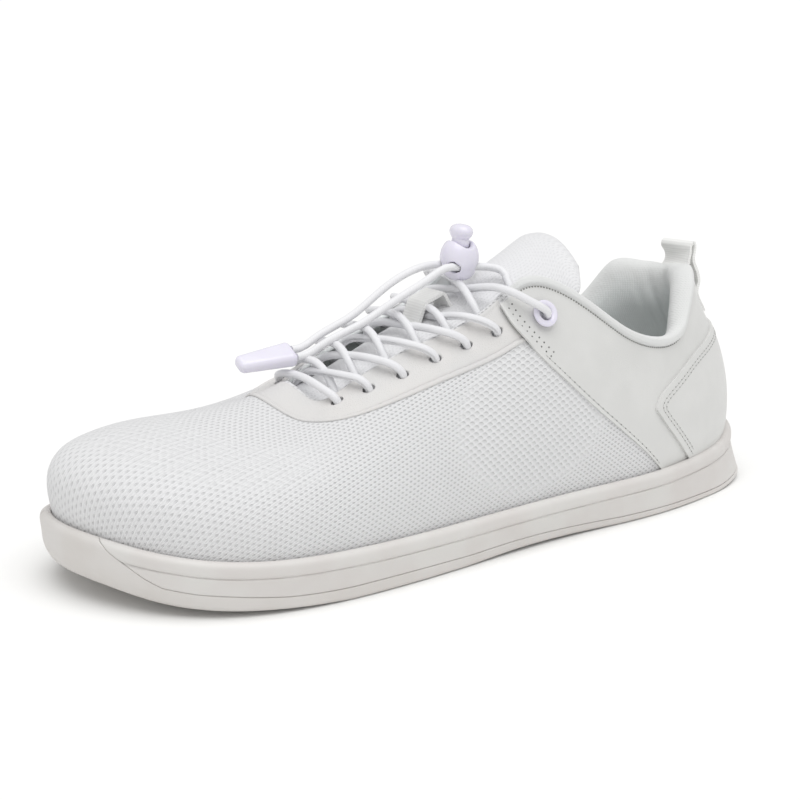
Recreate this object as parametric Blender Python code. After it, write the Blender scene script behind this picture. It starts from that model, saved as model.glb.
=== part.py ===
# Left training shoe: a rubber cup sole, a knit upper with smooth overlays, and an elastic lace
# drawn through a cord lock.
# Shapes are worked out in millimetres as station (forwards from the heel), side (towards the outer
# side of the foot) and height, and are placed in metres about the middle of the sole.
# A place round the shoe runs from 0 at the toe over the outer side to 1 at the heel, and on over the
# inner side to 2. A rise runs from 0 where the upper leaves the sole to 1 at its top edge.

import math
from collections import namedtuple

import bmesh
import bpy
import numpy as np

MM = 0.001
GAP = 0.3

# Sole: outline, height of its underside and rim, and height of the outsole's side above the underside
SoleRow = namedtuple("SoleRow", "station outer inner flare ground rim layer")
SOLE = (
    SoleRow(283.5, -7.0, 7.0, -4.0, 7.4, 24.4, 9.4),
    SoleRow(279.5, 12.0, 26.0, -4.0, 6.4, 23.6, 9.0),
    SoleRow(269.0, 31.0, 40.0, -3.4, 3.8, 21.3, 8.2),
    SoleRow(254.0, 44.0, 48.5, -2.6, 2.2, 19.2, 6.2),
    SoleRow(235.0, 51.0, 53.0, -2.0, 1.2, 17.8, 4.6),
    SoleRow(205.0, 53.0, 53.5, -1.5, -0.1, 16.8, 4.6),
    SoleRow(170.0, 50.5, 47.0, -1.6, -0.4, 16.3, 4.4),
    SoleRow(135.0, 47.0, 38.5, -2.4, 0.8, 16.4, 3.8),
    SoleRow(100.0, 44.5, 34.5, -2.4, 0.4, 16.4, 3.2),
    SoleRow(65.0, 42.0, 34.5, -1.0, -0.4, 16.4, 2.6),
    SoleRow(38.0, 35.5, 31.5, 0.5, -0.3, 17.0, 2.2),
    SoleRow(18.0, 26.5, 24.0, 2.5, 0.8, 18.6, 2.0),
    SoleRow(7.0, 15.5, 13.5, 4.0, 2.4, 21.4, 2.0),
    SoleRow(3.5, 1.5, -1.5, 4.5, 3.0, 22.8, 2.0),
)
OUTSOLE_SHEET = 2.2
OUTSOLE_LIP = 3.2
CUP_LIP = 3.6
CUP_EDGE = 0.2
CUP_FLOOR = 8.0
SPRING_START = 190.0
SPRING_RISE = 7.0
INSOLE_THICK = 3.5
INSOLE_GAP = 0.4
INSOLE_ROUND = (0.8, 1.2)
GROOVE_STATIONS = (30, 52, 74, 150, 172, 194, 216, 238)
GROOVE_WIDTH = 2.6
GROOVE_DEPTH = 1.0
GROOVE_REACH = 0.72
GROOVE_WAY = (0.12, 1.0, 0.0)
# Side of the outsole, as shares of its lower edge's height, and rim of the cup, down from its top
OUTSOLE_EDGE = 3.0
SideRow = namedtuple("SideRow", "share inset")
OUTSOLE_SIDE = (SideRow(0.00, 1.6), SideRow(0.15, 0.4), SideRow(0.45, 0.0))
RimRow = namedtuple("RimRow", "inset drop")
RIM = (
    RimRow(0.0, 5.4), RimRow(0.6, 5.1), RimRow(-0.1, 4.3), RimRow(-0.3, 2.6), RimRow(0.5, 0.7),
    RimRow(1.8, 0.0), RimRow(3.5, 0.4),
)

# Upper: a rib at each share of the way from toe to heel, the same on both sides but for the collar, which
# stands higher on the inner side by the inner lift
UpperRow = namedtuple(
    "UpperRow", "share station half height foot_lean foot_pull top_tilt top_pull edge inner_lift", defaults=(0.0,)
)
UPPER = (
    UpperRow(0.00, 200.0, 0.0, 61.0, 13, 32, 20, 52, 2.0),
    UpperRow(0.15, 198.0, 7.5, 57.8, 12, 30, 21, 45, 2.0),
    UpperRow(0.27, 193.0, 13.0, 56.8, 9, 26, 23, 32, 2.0),
    UpperRow(0.38, 178.0, 15.5, 64.5, 6, 25, 30, 24, 2.0),
    UpperRow(0.47, 155.0, 18.0, 72.5, 5, 25, 38, 24, 2.0),
    UpperRow(0.555, 131.0, 20.0, 81.0, 4, 26, 48, 25, 2.2),
    UpperRow(0.62, 112.0, 21.5, 89.5, 4, 28, 62, 25, 2.8),
    UpperRow(0.68, 92.0, 28.0, 79.5, 4, 24, 75, 20, 3.4),
    UpperRow(0.74, 75.0, 30.5, 67.5, 4, 20, 82, 16, 4.0),
    UpperRow(0.80, 57.0, 29.5, 62.0, 7, 18, 88, 14, 4.6),
    UpperRow(0.85, 45.5, 26.8, 65.0, 10, 19, 86, 16, 5.0, 3.5),
    UpperRow(0.90, 38.0, 20.0, 74.5, 11, 22, 72, 22, 5.0, 5.0),
    UpperRow(0.95, 30.5, 11.0, 81.0, 11, 25, 60, 24, 5.0, -1.5),
    UpperRow(1.00, 25.0, 0.0, 80.8, 11, 26, 58, 24, 5.0),
)
CENTRE = 1.0
WALL = 2.0
UPPER_INSET = RIM[-1].inset + GAP
RIM_TUCK = 1.0
OUTER_RISES = (0.0, 0.12, 0.26, 0.4, 0.54, 0.68, 0.8, 0.9, 1.0)
INNER_RISES = (1.0, 0.86, 0.66, 0.44, 0.2, 0.0)
PAD_START = 0.6
COLLAR_CROWN = 0.3
PLACE_COUNT = 64
PLACE_CROWD = 0.36

# Overlays on the upper: clear of it by the overlay gap, and their own thickness
OVERLAY_GAP = 0.5
OVERLAY_THICK = 0.9
COUNTER_LIFT = 2.0 * OVERLAY_GAP + OVERLAY_THICK
OVERLAY_FOOT = 0.028
COLLAR_ROLL = 4.0
EdgeRow = namedtuple("EdgeRow", "rise share")
QUARTER_FRONT = (
    EdgeRow(0.00, 0.768),
    EdgeRow(0.33, 0.696),
    EdgeRow(0.46, 0.652),
    EdgeRow(0.59, 0.616),
    EdgeRow(0.73, 0.592),
    EdgeRow(0.90, 0.574),
    EdgeRow(1.00, 0.570),
)
# Lower and upper edge of the heel counter; a low of 0 lets it run down to the rim of the sole
CounterRow = namedtuple("CounterRow", "share low high")
COUNTER = (
    CounterRow(0.766, 37.0, 40.2),
    CounterRow(0.772, 33.0, 42.0),
    CounterRow(0.788, 26.0, 44.4),
    CounterRow(0.804, 21.5, 46.4),
    CounterRow(0.820, 17.4, 48.5),
    CounterRow(0.850, 0.0, 52.0),
    CounterRow(0.880, 0.0, 54.2),
    CounterRow(0.905, 0.0, 55.8),
    CounterRow(0.940, 0.0, 58.2),
    CounterRow(0.972, 0.0, 60.0),
    CounterRow(1.000, 0.0, 60.8),
)
COUNTER_FOOT = 2.0
EYESTAY_TOP = 0.995
EYESTAY_END = (0.72, 0.008)
EYESTAY_FRONT = (
    EdgeRow(0.917, 0.00),
    EdgeRow(0.902, 0.15),
    EdgeRow(0.880, 0.223),
    EdgeRow(0.853, 0.27),
    EdgeRow(0.765, 0.345),
    EdgeRow(0.738, 0.409),
    EdgeRow(0.750, 0.467),
    EdgeRow(0.758, 0.526),
    EdgeRow(0.730, 0.60),
)

# Lace holes and eyelets, outer side: the inner side mirrors them
HoleRow = namedtuple("HoleRow", "share rise")
SLOTS = (
    HoleRow(0.309, 0.940),
    HoleRow(0.374, 0.893),
    HoleRow(0.425, 0.873),
    HoleRow(0.471, 0.885),
    HoleRow(0.514, 0.890),
    HoleRow(0.556, 0.870),
)
SLOT_LONG = 4.6
SLOT_WIDE = 3.4
SLOT_DEPTH = 9.0
EYELET = HoleRow(0.618, 0.823)
EYELET_FLANGE = 9.6
EYELET_BARREL = 6.0
EYELET_BORE = 4.8
EYELET_HOLE = 6.8
EYELET_HOLE_DEPTH = 14.0
EYELET_LIFT = 1.8
EYELET_DEPTH = 4.6
EYELET_BEAD = 1.2

# Tongue: its top surface along the foot, how far its sides hang, and its thickness
TongueRow = namedtuple("TongueRow", "station height half hang")
TONGUE = (
    TongueRow(207.0, 55.4, 13.0, 5.4),
    TongueRow(196.0, 55.6, 15.0, 5.4),
    TongueRow(178.0, 60.5, 19.0, 7.0),
    TongueRow(155.0, 69.8, 22.0, 9.0),
    TongueRow(131.0, 78.6, 23.0, 10.5),
    TongueRow(112.0, 86.8, 22.5, 12.5),
    TongueRow(98.0, 93.8, 22.6, 12.5),
    TongueRow(91.0, 97.8, 22.6, 13.5),
    TongueRow(88.0, 99.6, 18.0, 9.0),
)
TONGUE_THICK = 5.0
TONGUE_THINNING = 0.45
TONGUE_CROWD = 1.25
TONGUE_STEPS = 15
TONGUE_SIDES = 8
LOOP_WIDTH = 10.0
LOOP_THICK = 1.2
LOOP_SIDE = -2.0
LOOP_STATIONS = (148.4, 132.4)
LOOP_ARCH = 6.9
LOOP_LEG = 0.25
LOOP_STEPS = 11

# Pull tab: a webbing strip over the back of the collar
TAB_WIDTH = 12.0
TAB_THICK = 1.6
TAB_SKEW = -0.28
TAB_BACK_RISES = (0.67, 0.72, 0.78)
TAB_CROWN = (
    (17.5, 77.5), (18.2, 81.5), (19.2, 85.4), (20.8, 89.0), (22.4, 90.5), (23.7, 89.6), (22.7, 87.4), (22.2, 85.0),
    (23.2, 82.2),
)
TAB_STEPS = 24
TAB_FREE = (84.0, 90.0)

# Elastic lace: where a strand crosses its own edge of the throat, and where the next one dives under
LACE_RADIUS = 1.5
LACE_SIDES = 6
LACE_STEPS = 9
CROSS_AHEAD = 0.027
DIVE_AHEAD = 0.009
FIRST_DIVE_BACK = 0.004
EYELET_CROSS = 0.583
LACE_LIFT = 3.5
LACE_OVER_EDGE = 3.6
LACE_EDGE_RISE = 0.985
LACE_OVER_EYELET = 5.3
LACE_ARCH = 1.7
DIVE_INSET = 3.4
DIVE_DROP = 0.9
BAR_CROSS = 0.285
BAR_MIDDLE = (195.4, 1.0, 62.4)

# Cord lock on the two lace ends, and the clamp that holds their tips
LOCK_SEAT = (128.4, 1.0, 87.2)
LOCK_TILT = 5.0
LOCK_HALF = (6.8, 6.6, 7.8)
LOCK_POWER = 2.5
LOCK_BORE = 7.0
LOCK_BORE_FLOOR = 8.0
LOCK_NOTCH = 4.6
LOCK_NOTCH_HEIGHT = 16.7
CORD_HOLE = 3.9
CORD_HOLE_SIDE = 3.5
CORD_HOLE_HEIGHT = 5.4
BUTTON_STEM = 6.3
BUTTON_STEM_FOOT = 11.5
BUTTON_HALF = (3.8, 4.8)
ButtonRow = namedtuple("ButtonRow", "along across height")
BUTTON_CAP = (
    ButtonRow(1.00, 1.00, 17.4),
    ButtonRow(1.00, 1.00, 17.9),
    ButtonRow(0.86, 0.88, 19.2),
    ButtonRow(0.50, 0.56, 20.0),
)
BUTTON_NECK = 15.7
BUTTON_SIDES = 18
CLAMP_BACK = (193.0, -6.0, 68.4)
CLAMP_TIP = (214.0, -8.0, 66.8)
CLAMP_ROLL = 28.0
CLAMP_WIDE = (9.6, 6.4)
CLAMP_THICK = (5.2, 4.4)
CLAMP_ROUND = 1.3
TAIL_SPACE = 4.0
# Route of each lace end from the top eyelet to the lock, and from the lock to the clamp
END_ROUTE = ((116.5, 14.6, 87.4), (115.6, 10.6, 90.6))
LOCK_REACHES = (-7.6, -3.0, 3.0, 7.6)
CLAMP_REACHES = (4.0, 0.4)
TailRow = namedtuple("TailRow", "station side outer_height inner_height")
TAIL_ROUTE = (
    TailRow(143.0, 1.2, 90.4, 93.0),
    TailRow(156.0, -0.6, 83.8, 87.6),
    TailRow(170.0, -2.6, 76.4, 78.4),
    TailRow(184.0, -4.8, 70.6, 72.0),
)
CORD_POINT_SPACE = 6.0

Finish = namedtuple("Finish", "colour roughness")
FINISHES = {
    "white_rubber": Finish((0.66, 0.63, 0.61), 0.55),
    "white_knit": Finish((0.76, 0.76, 0.77), 0.85),
    "white_leather": Finish((0.69, 0.69, 0.68), 0.5),
    "white_lining": Finish((0.62, 0.63, 0.62), 0.9),
    "white_webbing": Finish((0.70, 0.70, 0.68), 0.8),
    "white_elastic": Finish((0.68, 0.68, 0.70), 0.6),
    "white_plastic": Finish((0.73, 0.71, 0.79), 0.35),
}


def spline(knots, rows, period=None):
    # A smooth curve through rows at rising knots, closed on itself where a period is given
    knots = np.asarray(knots, float)
    rows = np.asarray(rows, float)
    count = len(knots)
    ends = np.append(knots, knots[0] + period) if period else knots
    steps = np.diff(ends)
    matrix = np.eye(count)
    right = np.zeros_like(rows)
    for i in range(count):
        if not period and i in (0, count - 1):
            continue
        before, after = steps[i - 1], steps[i % len(steps)]
        matrix[i, i] = 2 * (before + after)
        matrix[i, i - 1] += before
        matrix[i, (i + 1) % count] += after
        right[i] = 6 * ((rows[(i + 1) % count] - rows[i]) / after - (rows[i] - rows[i - 1]) / before)
    bends = np.linalg.solve(matrix, right)

    def value(at):
        at = np.asarray(at, float)
        if period:
            at = (at - knots[0]) % period + knots[0]
        i = np.clip(np.searchsorted(knots, at, side="right") - 1, 0, len(steps) - 1)
        j = (i + 1) % count
        step = steps[i][..., None]
        back = (ends[i + 1] - at)[..., None]
        on = (at - ends[i])[..., None]
        curve = (bends[i] * back**3 + bends[j] * on**3) / (6 * step)
        line = rows[i] * back / step + rows[j] * on / step
        return curve + line - step / 6 * (bends[i] * back + bends[j] * on)

    return value


def both_sides(rows, outer, inner):
    # Rows from toe to heel on the outer side, then back to the toe on the inner side
    return [outer(row) for row in rows] + [inner(row) for row in reversed(rows[1:-1])]


def unit(vectors):
    return vectors / np.linalg.norm(vectors, axis=-1, keepdims=True)


def smooth_step(low, high, at):
    share = np.clip((np.asarray(at, float) - low) / (high - low), 0, 1)
    return share * share * (3 - 2 * share)


class Sole:
    # The outline of the sole and the heights along it, read by place round the shoe

    def __init__(self):
        corners = np.array(
            both_sides(SOLE, lambda r: (r.station, r.outer), lambda r: (r.station, -r.inner))
        )
        chords = np.linalg.norm(np.roll(corners, -1, axis=0) - corners, axis=1)
        knots = np.append(0, np.cumsum(chords))
        self.edge = spline(knots[:-1], corners, knots[-1])
        self.walk = np.linspace(0, knots[-1], 2001)
        lengths = np.append(0, np.cumsum(np.linalg.norm(np.diff(self.edge(self.walk), axis=0), axis=1)))
        heel = np.interp(knots[len(SOLE) - 1], self.walk, lengths)
        self.shares = np.where(
            lengths <= heel, lengths / heel, 1 + (lengths - heel) / (lengths[-1] - heel)
        )
        places = np.interp(knots[:-1], self.walk, self.shares)
        heights = both_sides(SOLE, lambda r: r[3:], lambda r: r[3:])
        self.heights = spline(places, heights, 2.0)

    def outline(self, place, inset):
        at = np.interp(np.asarray(place, float) % 2.0, self.shares, self.walk)
        ahead = unit(self.edge(at + 0.05) - self.edge(at - 0.05))
        out = np.stack([ahead[..., 1], -ahead[..., 0]], axis=-1)
        return self.edge(at) - out * np.broadcast_to(inset, at.shape)[..., None]

    def flare(self, place):
        return self.heights(place)[..., 0]

    def ground(self, place):
        return np.maximum(self.heights(place)[..., 1], 0)

    def rim(self, place):
        return self.heights(place)[..., 2]

    def layer(self, place):
        return self.heights(place)[..., 3]

    def floor(self, place):
        # Height of the cup's floor, which rises towards the toe
        station = self.outline(place, UPPER_INSET)[..., 0]
        share = np.clip((station - SPRING_START) / (SOLE[0].station - SPRING_START), 0, 1)
        return CUP_FLOOR + SPRING_RISE * share**2

    def wall_inset(self, place, height):
        # The side leans in or out by the flare between the underside and the rim
        ground = self.ground(place)
        share = (height - ground) / (self.rim(place) - RIM[0].drop - ground)
        return -self.flare(place) * (1 - np.clip(share, 0, 1))

    def ring(self, place, inset, height):
        flat = self.outline(place, inset)
        return np.concatenate([flat, np.broadcast_to(height, place.shape)[..., None]], axis=-1)


sole = Sole()


def crowded(even):
    # Places at even steps, drawn together where the toe and the heel curve most
    return even - PLACE_CROWD * np.sin(2 * math.pi * even) / (2 * math.pi)


PLACES = crowded(np.arange(PLACE_COUNT) * 2.0 / PLACE_COUNT)
upper_sizes = spline(
    [row.share for row in UPPER] + [2 - row.share for row in reversed(UPPER[1:-1])],
    both_sides(UPPER, lambda r: r[1:9], lambda r: (r.station, -r.half, r.height + r.inner_lift) + r[4:9]),
    2.0,
)


def upper_point(place, rise):
    # The upper's outer surface: each rib leaves the sole upright and bends over to the top edge
    place, rise = np.broadcast_arrays(np.asarray(place, float), np.asarray(rise, float))
    foot = sole.ring(place, UPPER_INSET, sole.rim(place) - RIM_TUCK)
    size = upper_sizes(place)
    top = np.stack([size[..., 0], CENTRE + size[..., 1], size[..., 2]], axis=-1)
    lean, tilt = np.radians(size[..., 3]), np.radians(size[..., 5])
    inward = unit(top[..., :2] - foot[..., :2])
    foot_way = np.concatenate([-np.sin(lean)[..., None] * inward, np.cos(lean)[..., None]], axis=-1)
    top_way = np.concatenate([np.cos(tilt)[..., None] * inward, np.sin(tilt)[..., None]], axis=-1)
    start = foot + size[..., 4, None] * foot_way
    end = top - size[..., 6, None] * top_way
    on = rise[..., None]
    back = 1 - on
    return back**3 * foot + 3 * back**2 * on * start + 3 * back * on**2 * end + on**3 * top


def upper_normal(place, rise):
    place, rise = np.broadcast_arrays(np.asarray(place, float), np.asarray(rise, float))
    step = 0.002
    low, high = np.clip(rise - step, 0, 1), np.clip(rise + step, 0, 1)
    along = upper_point(place + step, rise) - upper_point(place - step, rise)
    up = upper_point(place, high) - upper_point(place, low)
    return unit(np.cross(along, up))


def upper_lift(place, rise, lift):
    # A point raised off the upper's outer surface, or sunk into its wall where lift is negative
    lift = np.asarray(lift, float)
    return upper_point(place, rise) + upper_normal(place, rise) * lift[..., None]


def upper_wall(place, rise):
    # The wall thickens to the padded collar edge
    edge = upper_sizes(np.asarray(place, float))[..., 7]
    return WALL + (edge - WALL) * smooth_step(PAD_START, 1, rise)


def rise_at(place, height):
    # The rise at which the rib at a place reaches a height
    rises = np.linspace(0, 1, 81)
    flat = [
        np.interp(level, upper_point(np.full(81, at), rises)[:, 2], rises)
        for at, level in zip(np.ravel(place), np.ravel(height))
    ]
    return np.reshape(flat, np.shape(place))


def side_place(share, outer):
    return share if outer else 2 - share


# Middle of the sole, which the part's own frame is centred on
widest = np.concatenate(
    [
        sole.outline(PLACES, -0.3),
        sole.outline(PLACES, sole.wall_inset(PLACES, sole.ground(PLACES) + 1.0)),
    ]
)
MIDDLE = (widest.min(axis=0) + widest.max(axis=0)) / 2


def placed(points):
    points = np.asarray(points, float).reshape(-1, 3).copy()
    points[:, :2] -= MIDDLE
    return points * MM


def material(name):
    found = bpy.data.materials.get(name)
    if found:
        return found
    made = bpy.data.materials.new(name)
    made.use_nodes = True
    shader = made.node_tree.nodes["Principled BSDF"]
    shader.inputs["Base Color"].default_value = (*FINISHES[name].colour, 1)
    shader.inputs["Roughness"].default_value = FINISHES[name].roughness
    return made


def add_object(name, points, faces, finish=None):
    # A closed mesh with its faces turned outwards; one with no finish is a cutter and stays hidden
    shape = bmesh.new()
    corners = [shape.verts.new(point) for point in points]
    for face in faces:
        shape.faces.new([corners[i] for i in face])
    bmesh.ops.recalc_face_normals(shape, faces=shape.faces)
    mesh = bpy.data.meshes.new(name)
    shape.to_mesh(mesh)
    shape.free()
    made = bpy.data.objects.new(name, mesh)
    bpy.context.scene.collection.objects.link(made)
    if finish is None:
        made.hide_render = True
        made.display_type = "WIRE"
        return made
    mesh.materials.append(material(finish))
    mesh.shade_smooth()
    mesh.set_sharp_from_angle(angle=math.radians(40))
    return made


def boolean(target, other, operation):
    cut = target.modifiers.new(other.name, "BOOLEAN")
    cut.operation = operation
    cut.solver = "EXACT"
    cut.object = other


def tube_faces(rings, length, closed):
    # Quads between neighbouring rings, each ring a closed loop of the given length
    pairs = range(rings if closed else rings - 1)
    return [
        (i * length + j, i * length + (j + 1) % length,
         (i + 1) % rings * length + (j + 1) % length, (i + 1) % rings * length + j)
        for i in pairs
        for j in range(length)
    ]


def ladder_faces(first, count):
    # Fills a ring across the shoe: each rung joins the outer side to the inner side
    faces = []
    for i in range(count // 2):
        rung = [first + i, first + i + 1, first + (count - i - 1) % count, first + (count - i) % count]
        faces.append(list(dict.fromkeys(rung)))
    return faces


def ring_solid(name, rings, finish):
    # A solid of stacked rings round the shoe, filled across its first and its last ring
    count = len(rings[0])
    faces = tube_faces(len(rings), count, False)
    faces += ladder_faces(0, count) + ladder_faces((len(rings) - 1) * count, count)
    return add_object(name, placed(np.concatenate(rings)), faces, finish)


def slab(name, low, high, finish):
    # A thick patch between two grids of points
    rows, columns = low.shape[:2]
    points = np.concatenate([low.reshape(-1, 3), high.reshape(-1, 3)])
    top = rows * columns
    faces = []
    for i in range(rows - 1):
        for j in range(columns - 1):
            corner = i * columns + j
            quad = (corner, corner + 1, corner + columns + 1, corner + columns)
            faces += [quad, tuple(top + k for k in reversed(quad))]
    rim = [(0, j) for j in range(columns)]
    rim += [(i, columns - 1) for i in range(1, rows)]
    rim += [(rows - 1, j) for j in range(columns - 2, -1, -1)]
    rim += [(i, 0) for i in range(rows - 2, 0, -1)]
    border = [i * columns + j for i, j in rim]
    for here, there in zip(border, border[1:] + border[:1]):
        faces.append((here, there, top + there, top + here))
    return add_object(name, placed(points), faces, finish)


def band(name, centres, ups, width, thick, finish, skews=None):
    # A strip of webbing along a line of centres, with its thickness along the ups
    skews = np.zeros(len(centres)) if skews is None else skews
    side = np.column_stack([skews, np.ones(len(centres)), np.zeros(len(centres))]) * width / 2
    low = np.stack([centres - side - ups * thick / 2, centres + side - ups * thick / 2], axis=1)
    high = np.stack([centres - side + ups * thick / 2, centres + side + ups * thick / 2], axis=1)
    return slab(name, low, high, finish)


def line_ups(centres):
    # Normals of a line that keeps to one fore and aft plane
    along = unit(np.gradient(centres, axis=0))
    return np.column_stack([-along[:, 2], np.zeros(len(along)), along[:, 0]])


def smooth_path(points, count):
    points = np.asarray(points, float)
    knots = np.append(0, np.cumsum(np.linalg.norm(np.diff(points, axis=0), axis=1)))
    return spline(knots, points)(np.linspace(0, knots[-1], count))


def tube(name, path, radius, sides, finish):
    # A round strand along a path, with flat ends
    path = np.asarray(path, float)
    along = unit(np.gradient(path, axis=0))
    across = unit(np.cross(along, (0.0, 0.0, 1.0)))
    above = np.cross(across, along)
    turns = np.arange(sides) * 2 * math.pi / sides
    rings = (
        path[:, None]
        + radius * np.cos(turns)[None, :, None] * across[:, None]
        + radius * np.sin(turns)[None, :, None] * above[:, None]
    )
    faces = tube_faces(len(path), sides, False)
    faces.append(range(sides))
    faces.append(range((len(path) - 1) * sides, len(path) * sides))
    return add_object(name, placed(rings), faces, finish)


def prism_points(centre, axis, long_way, long, wide, depth, sides):
    # Corners of an oval prism through a wall, in two rings
    axis = unit(np.asarray(axis, float))
    long_way = unit(long_way - axis * np.dot(long_way, axis))
    cross = np.cross(axis, long_way)
    turns = np.arange(sides) * 2 * math.pi / sides
    oval = np.outer(np.cos(turns) * long / 2, long_way) + np.outer(np.sin(turns) * wide / 2, cross)
    return np.concatenate([centre + oval - axis * depth / 2, centre + oval + axis * depth / 2])


def prisms(name, sets, sides):
    # Several prisms in one cutter
    points, faces = [], []
    for first, corners in enumerate(sets):
        start = first * 2 * sides
        points.append(corners)
        faces += [tuple(start + k for k in face) for face in tube_faces(2, sides, False)]
        faces += [range(start, start + sides), range(start + sides, start + 2 * sides)]
    return add_object(name, placed(np.concatenate(points)), faces)


def turned(name, profile, sides, finish, matrix):
    # A closed profile of radius and height turned about its own axis, then set in place
    turns = np.arange(sides) * 2 * math.pi / sides
    rings = [
        [(radius * math.cos(turn), radius * math.sin(turn), height) for radius, height in profile]
        for turn in turns
    ]
    points = np.concatenate(rings) @ matrix[:, :3].T + matrix[:, 3]
    return add_object(name, placed(points), tube_faces(sides, len(profile), True), finish)


def make_outsole():
    ground, layer = sole.ground(PLACES), sole.layer(PLACES)
    lower = np.minimum(layer, OUTSOLE_EDGE)

    def ring(rise, inset):
        return sole.ring(PLACES, sole.wall_inset(PLACES, ground + rise) + inset, ground + rise)

    rings = [ring(row.share * lower, row.inset) for row in OUTSOLE_SIDE]
    rings += [
        ring(layer, 0.0),
        sole.ring(PLACES, sole.wall_inset(PLACES, ground + layer) + OUTSOLE_LIP, ground + OUTSOLE_SHEET),
    ]
    made = ring_solid("outsole", rings, "white_rubber")
    boxes = []
    for station in GROOVE_STATIONS:
        outer = np.interp(-station, [-row.station for row in SOLE], [row.outer for row in SOLE])
        inner = np.interp(-station, [-row.station for row in SOLE], [row.inner for row in SOLE])
        height = sole.ground(np.interp(-station, [-row.station for row in SOLE], sole_row_places()))
        middle = np.array([station, (outer - inner) / 2, float(height)])
        reach = GROOVE_REACH * (outer + inner)
        boxes.append(
            prism_points(middle, (0, 0, 1), np.array(GROOVE_WAY), reach, GROOVE_WIDTH, 2 * GROOVE_DEPTH, 8)
        )
    boolean(made, prisms("outsole_grooves", boxes, 8), "DIFFERENCE")
    return made


def sole_row_places():
    # Places of the sole's rows on the outer side
    places = np.linspace(0, 1, 401)
    stations = sole.outline(places, 0.0)[:, 0]
    return [np.interp(-row.station, -stations, places) for row in SOLE]


def make_midsole():
    ground, layer, rim = sole.ground(PLACES), sole.layer(PLACES), sole.rim(PLACES)
    edge = ground + layer + GAP
    low = sole.wall_inset(PLACES, ground + layer) + CUP_LIP
    rings = [
        sole.ring(PLACES, low, ground + OUTSOLE_SHEET + GAP),
        sole.ring(PLACES, sole.wall_inset(PLACES, edge) + CUP_EDGE, edge),
    ]
    rings += [sole.ring(PLACES, row.inset, rim - row.drop) for row in RIM]
    rings.append(sole.ring(PLACES, RIM[-1].inset, sole.floor(PLACES)))
    return ring_solid("midsole", rings, "white_rubber")


def make_insole():
    inset = UPPER_INSET + WALL + INSOLE_GAP
    low = sole.floor(PLACES) + GAP
    rings = [
        sole.ring(PLACES, inset, low),
        sole.ring(PLACES, inset, low + INSOLE_THICK - INSOLE_ROUND[0]),
        sole.ring(PLACES, inset + INSOLE_ROUND[1], low + INSOLE_THICK),
    ]
    return ring_solid("insole", rings, "white_lining")


def hole_prism(row, outer, long, wide, depth, sides):
    # An oval hole through the upper, long along the throat
    place = side_place(row.share, outer)
    centre = upper_point(place, row.rise)
    along = upper_point(place + 0.01, row.rise) - upper_point(place - 0.01, row.rise)
    return prism_points(centre, upper_normal(place, row.rise), along, long, wide, depth, sides)


def make_upper():
    foot = sole.ring(PLACES, UPPER_INSET, sole.floor(PLACES) + GAP)
    inner_foot = sole.ring(PLACES, UPPER_INSET + WALL, sole.floor(PLACES) + GAP)
    outer = [upper_point(PLACES, rise) for rise in OUTER_RISES]
    inner = [upper_lift(PLACES, rise, -upper_wall(PLACES, rise)) for rise in INNER_RISES]
    edge = upper_wall(PLACES, 1.0)
    up = unit(upper_point(PLACES, 1.0) - upper_point(PLACES, 0.99))
    crown = (outer[-1] + inner[0]) / 2 + up * COLLAR_CROWN * edge[:, None]
    rings = [foot] + outer + [crown] + inner + [inner_foot]
    points = placed(np.concatenate(rings))
    made = add_object("upper", points, tube_faces(len(rings), PLACE_COUNT, True), "white_knit")
    slots = [
        hole_prism(row, outer_side, SLOT_LONG, SLOT_WIDE, SLOT_DEPTH, 8)
        for row in SLOTS
        for outer_side in (True, False)
    ]
    eyelets = [
        hole_prism(EYELET, outer_side, EYELET_HOLE, EYELET_HOLE, EYELET_HOLE_DEPTH, 10)
        for outer_side in (True, False)
    ]
    slot_cutter = prisms("lace_slots", slots, 8)
    eyelet_cutter = prisms("eyelet_holes", eyelets, 10)
    boolean(made, slot_cutter, "DIFFERENCE")
    boolean(made, eyelet_cutter, "DIFFERENCE")
    return slot_cutter, eyelet_cutter


def edge_share(rows, rise):
    return np.interp(rise, [row.rise for row in rows], [row.share for row in rows])


def overlay(name, place, rise, lift):
    low = upper_lift(place, rise, np.full(place.shape, lift))
    high = upper_lift(place, rise, np.full(place.shape, lift + OVERLAY_THICK))
    return slab(name, low, high, "white_leather")


def drawn_in(count):
    # Shares across a panel that spans the heel, closest together at its middle
    even = np.linspace(0, 1, count)[:, None]
    return even + PLACE_CROWD * np.sin(2 * math.pi * even) / (2 * math.pi)


def make_quarter(eyelet_cutter):
    share = np.linspace(0, 1, 8)[None, :]
    across = drawn_in(49)
    front = edge_share(QUARTER_FRONT, share)
    place = front + (2 - 2 * front) * across
    top = 1 - COLLAR_ROLL / (3 * upper_sizes(place)[..., 6])
    rise = OVERLAY_FOOT + (top - OVERLAY_FOOT) * share
    boolean(overlay("quarter", place, rise, OVERLAY_GAP), eyelet_cutter, "DIFFERENCE")


def make_heel_counter():
    shares = [row.share for row in COUNTER]
    place = shares[0] + 2 * (1 - shares[0]) * drawn_in(35)
    nearest = np.minimum(place, 2 - place)
    low = np.interp(nearest, shares, [row.low for row in COUNTER])
    low = np.maximum(low, sole.rim(place) + COUNTER_FOOT)
    high = np.interp(nearest, shares, [row.high for row in COUNTER])
    level = low + (high - low) * np.linspace(0, 1, 6)[None, :]
    place = np.broadcast_to(place, level.shape)
    overlay("heel_counter", place, rise_at(place, level), COUNTER_LIFT)


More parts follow.
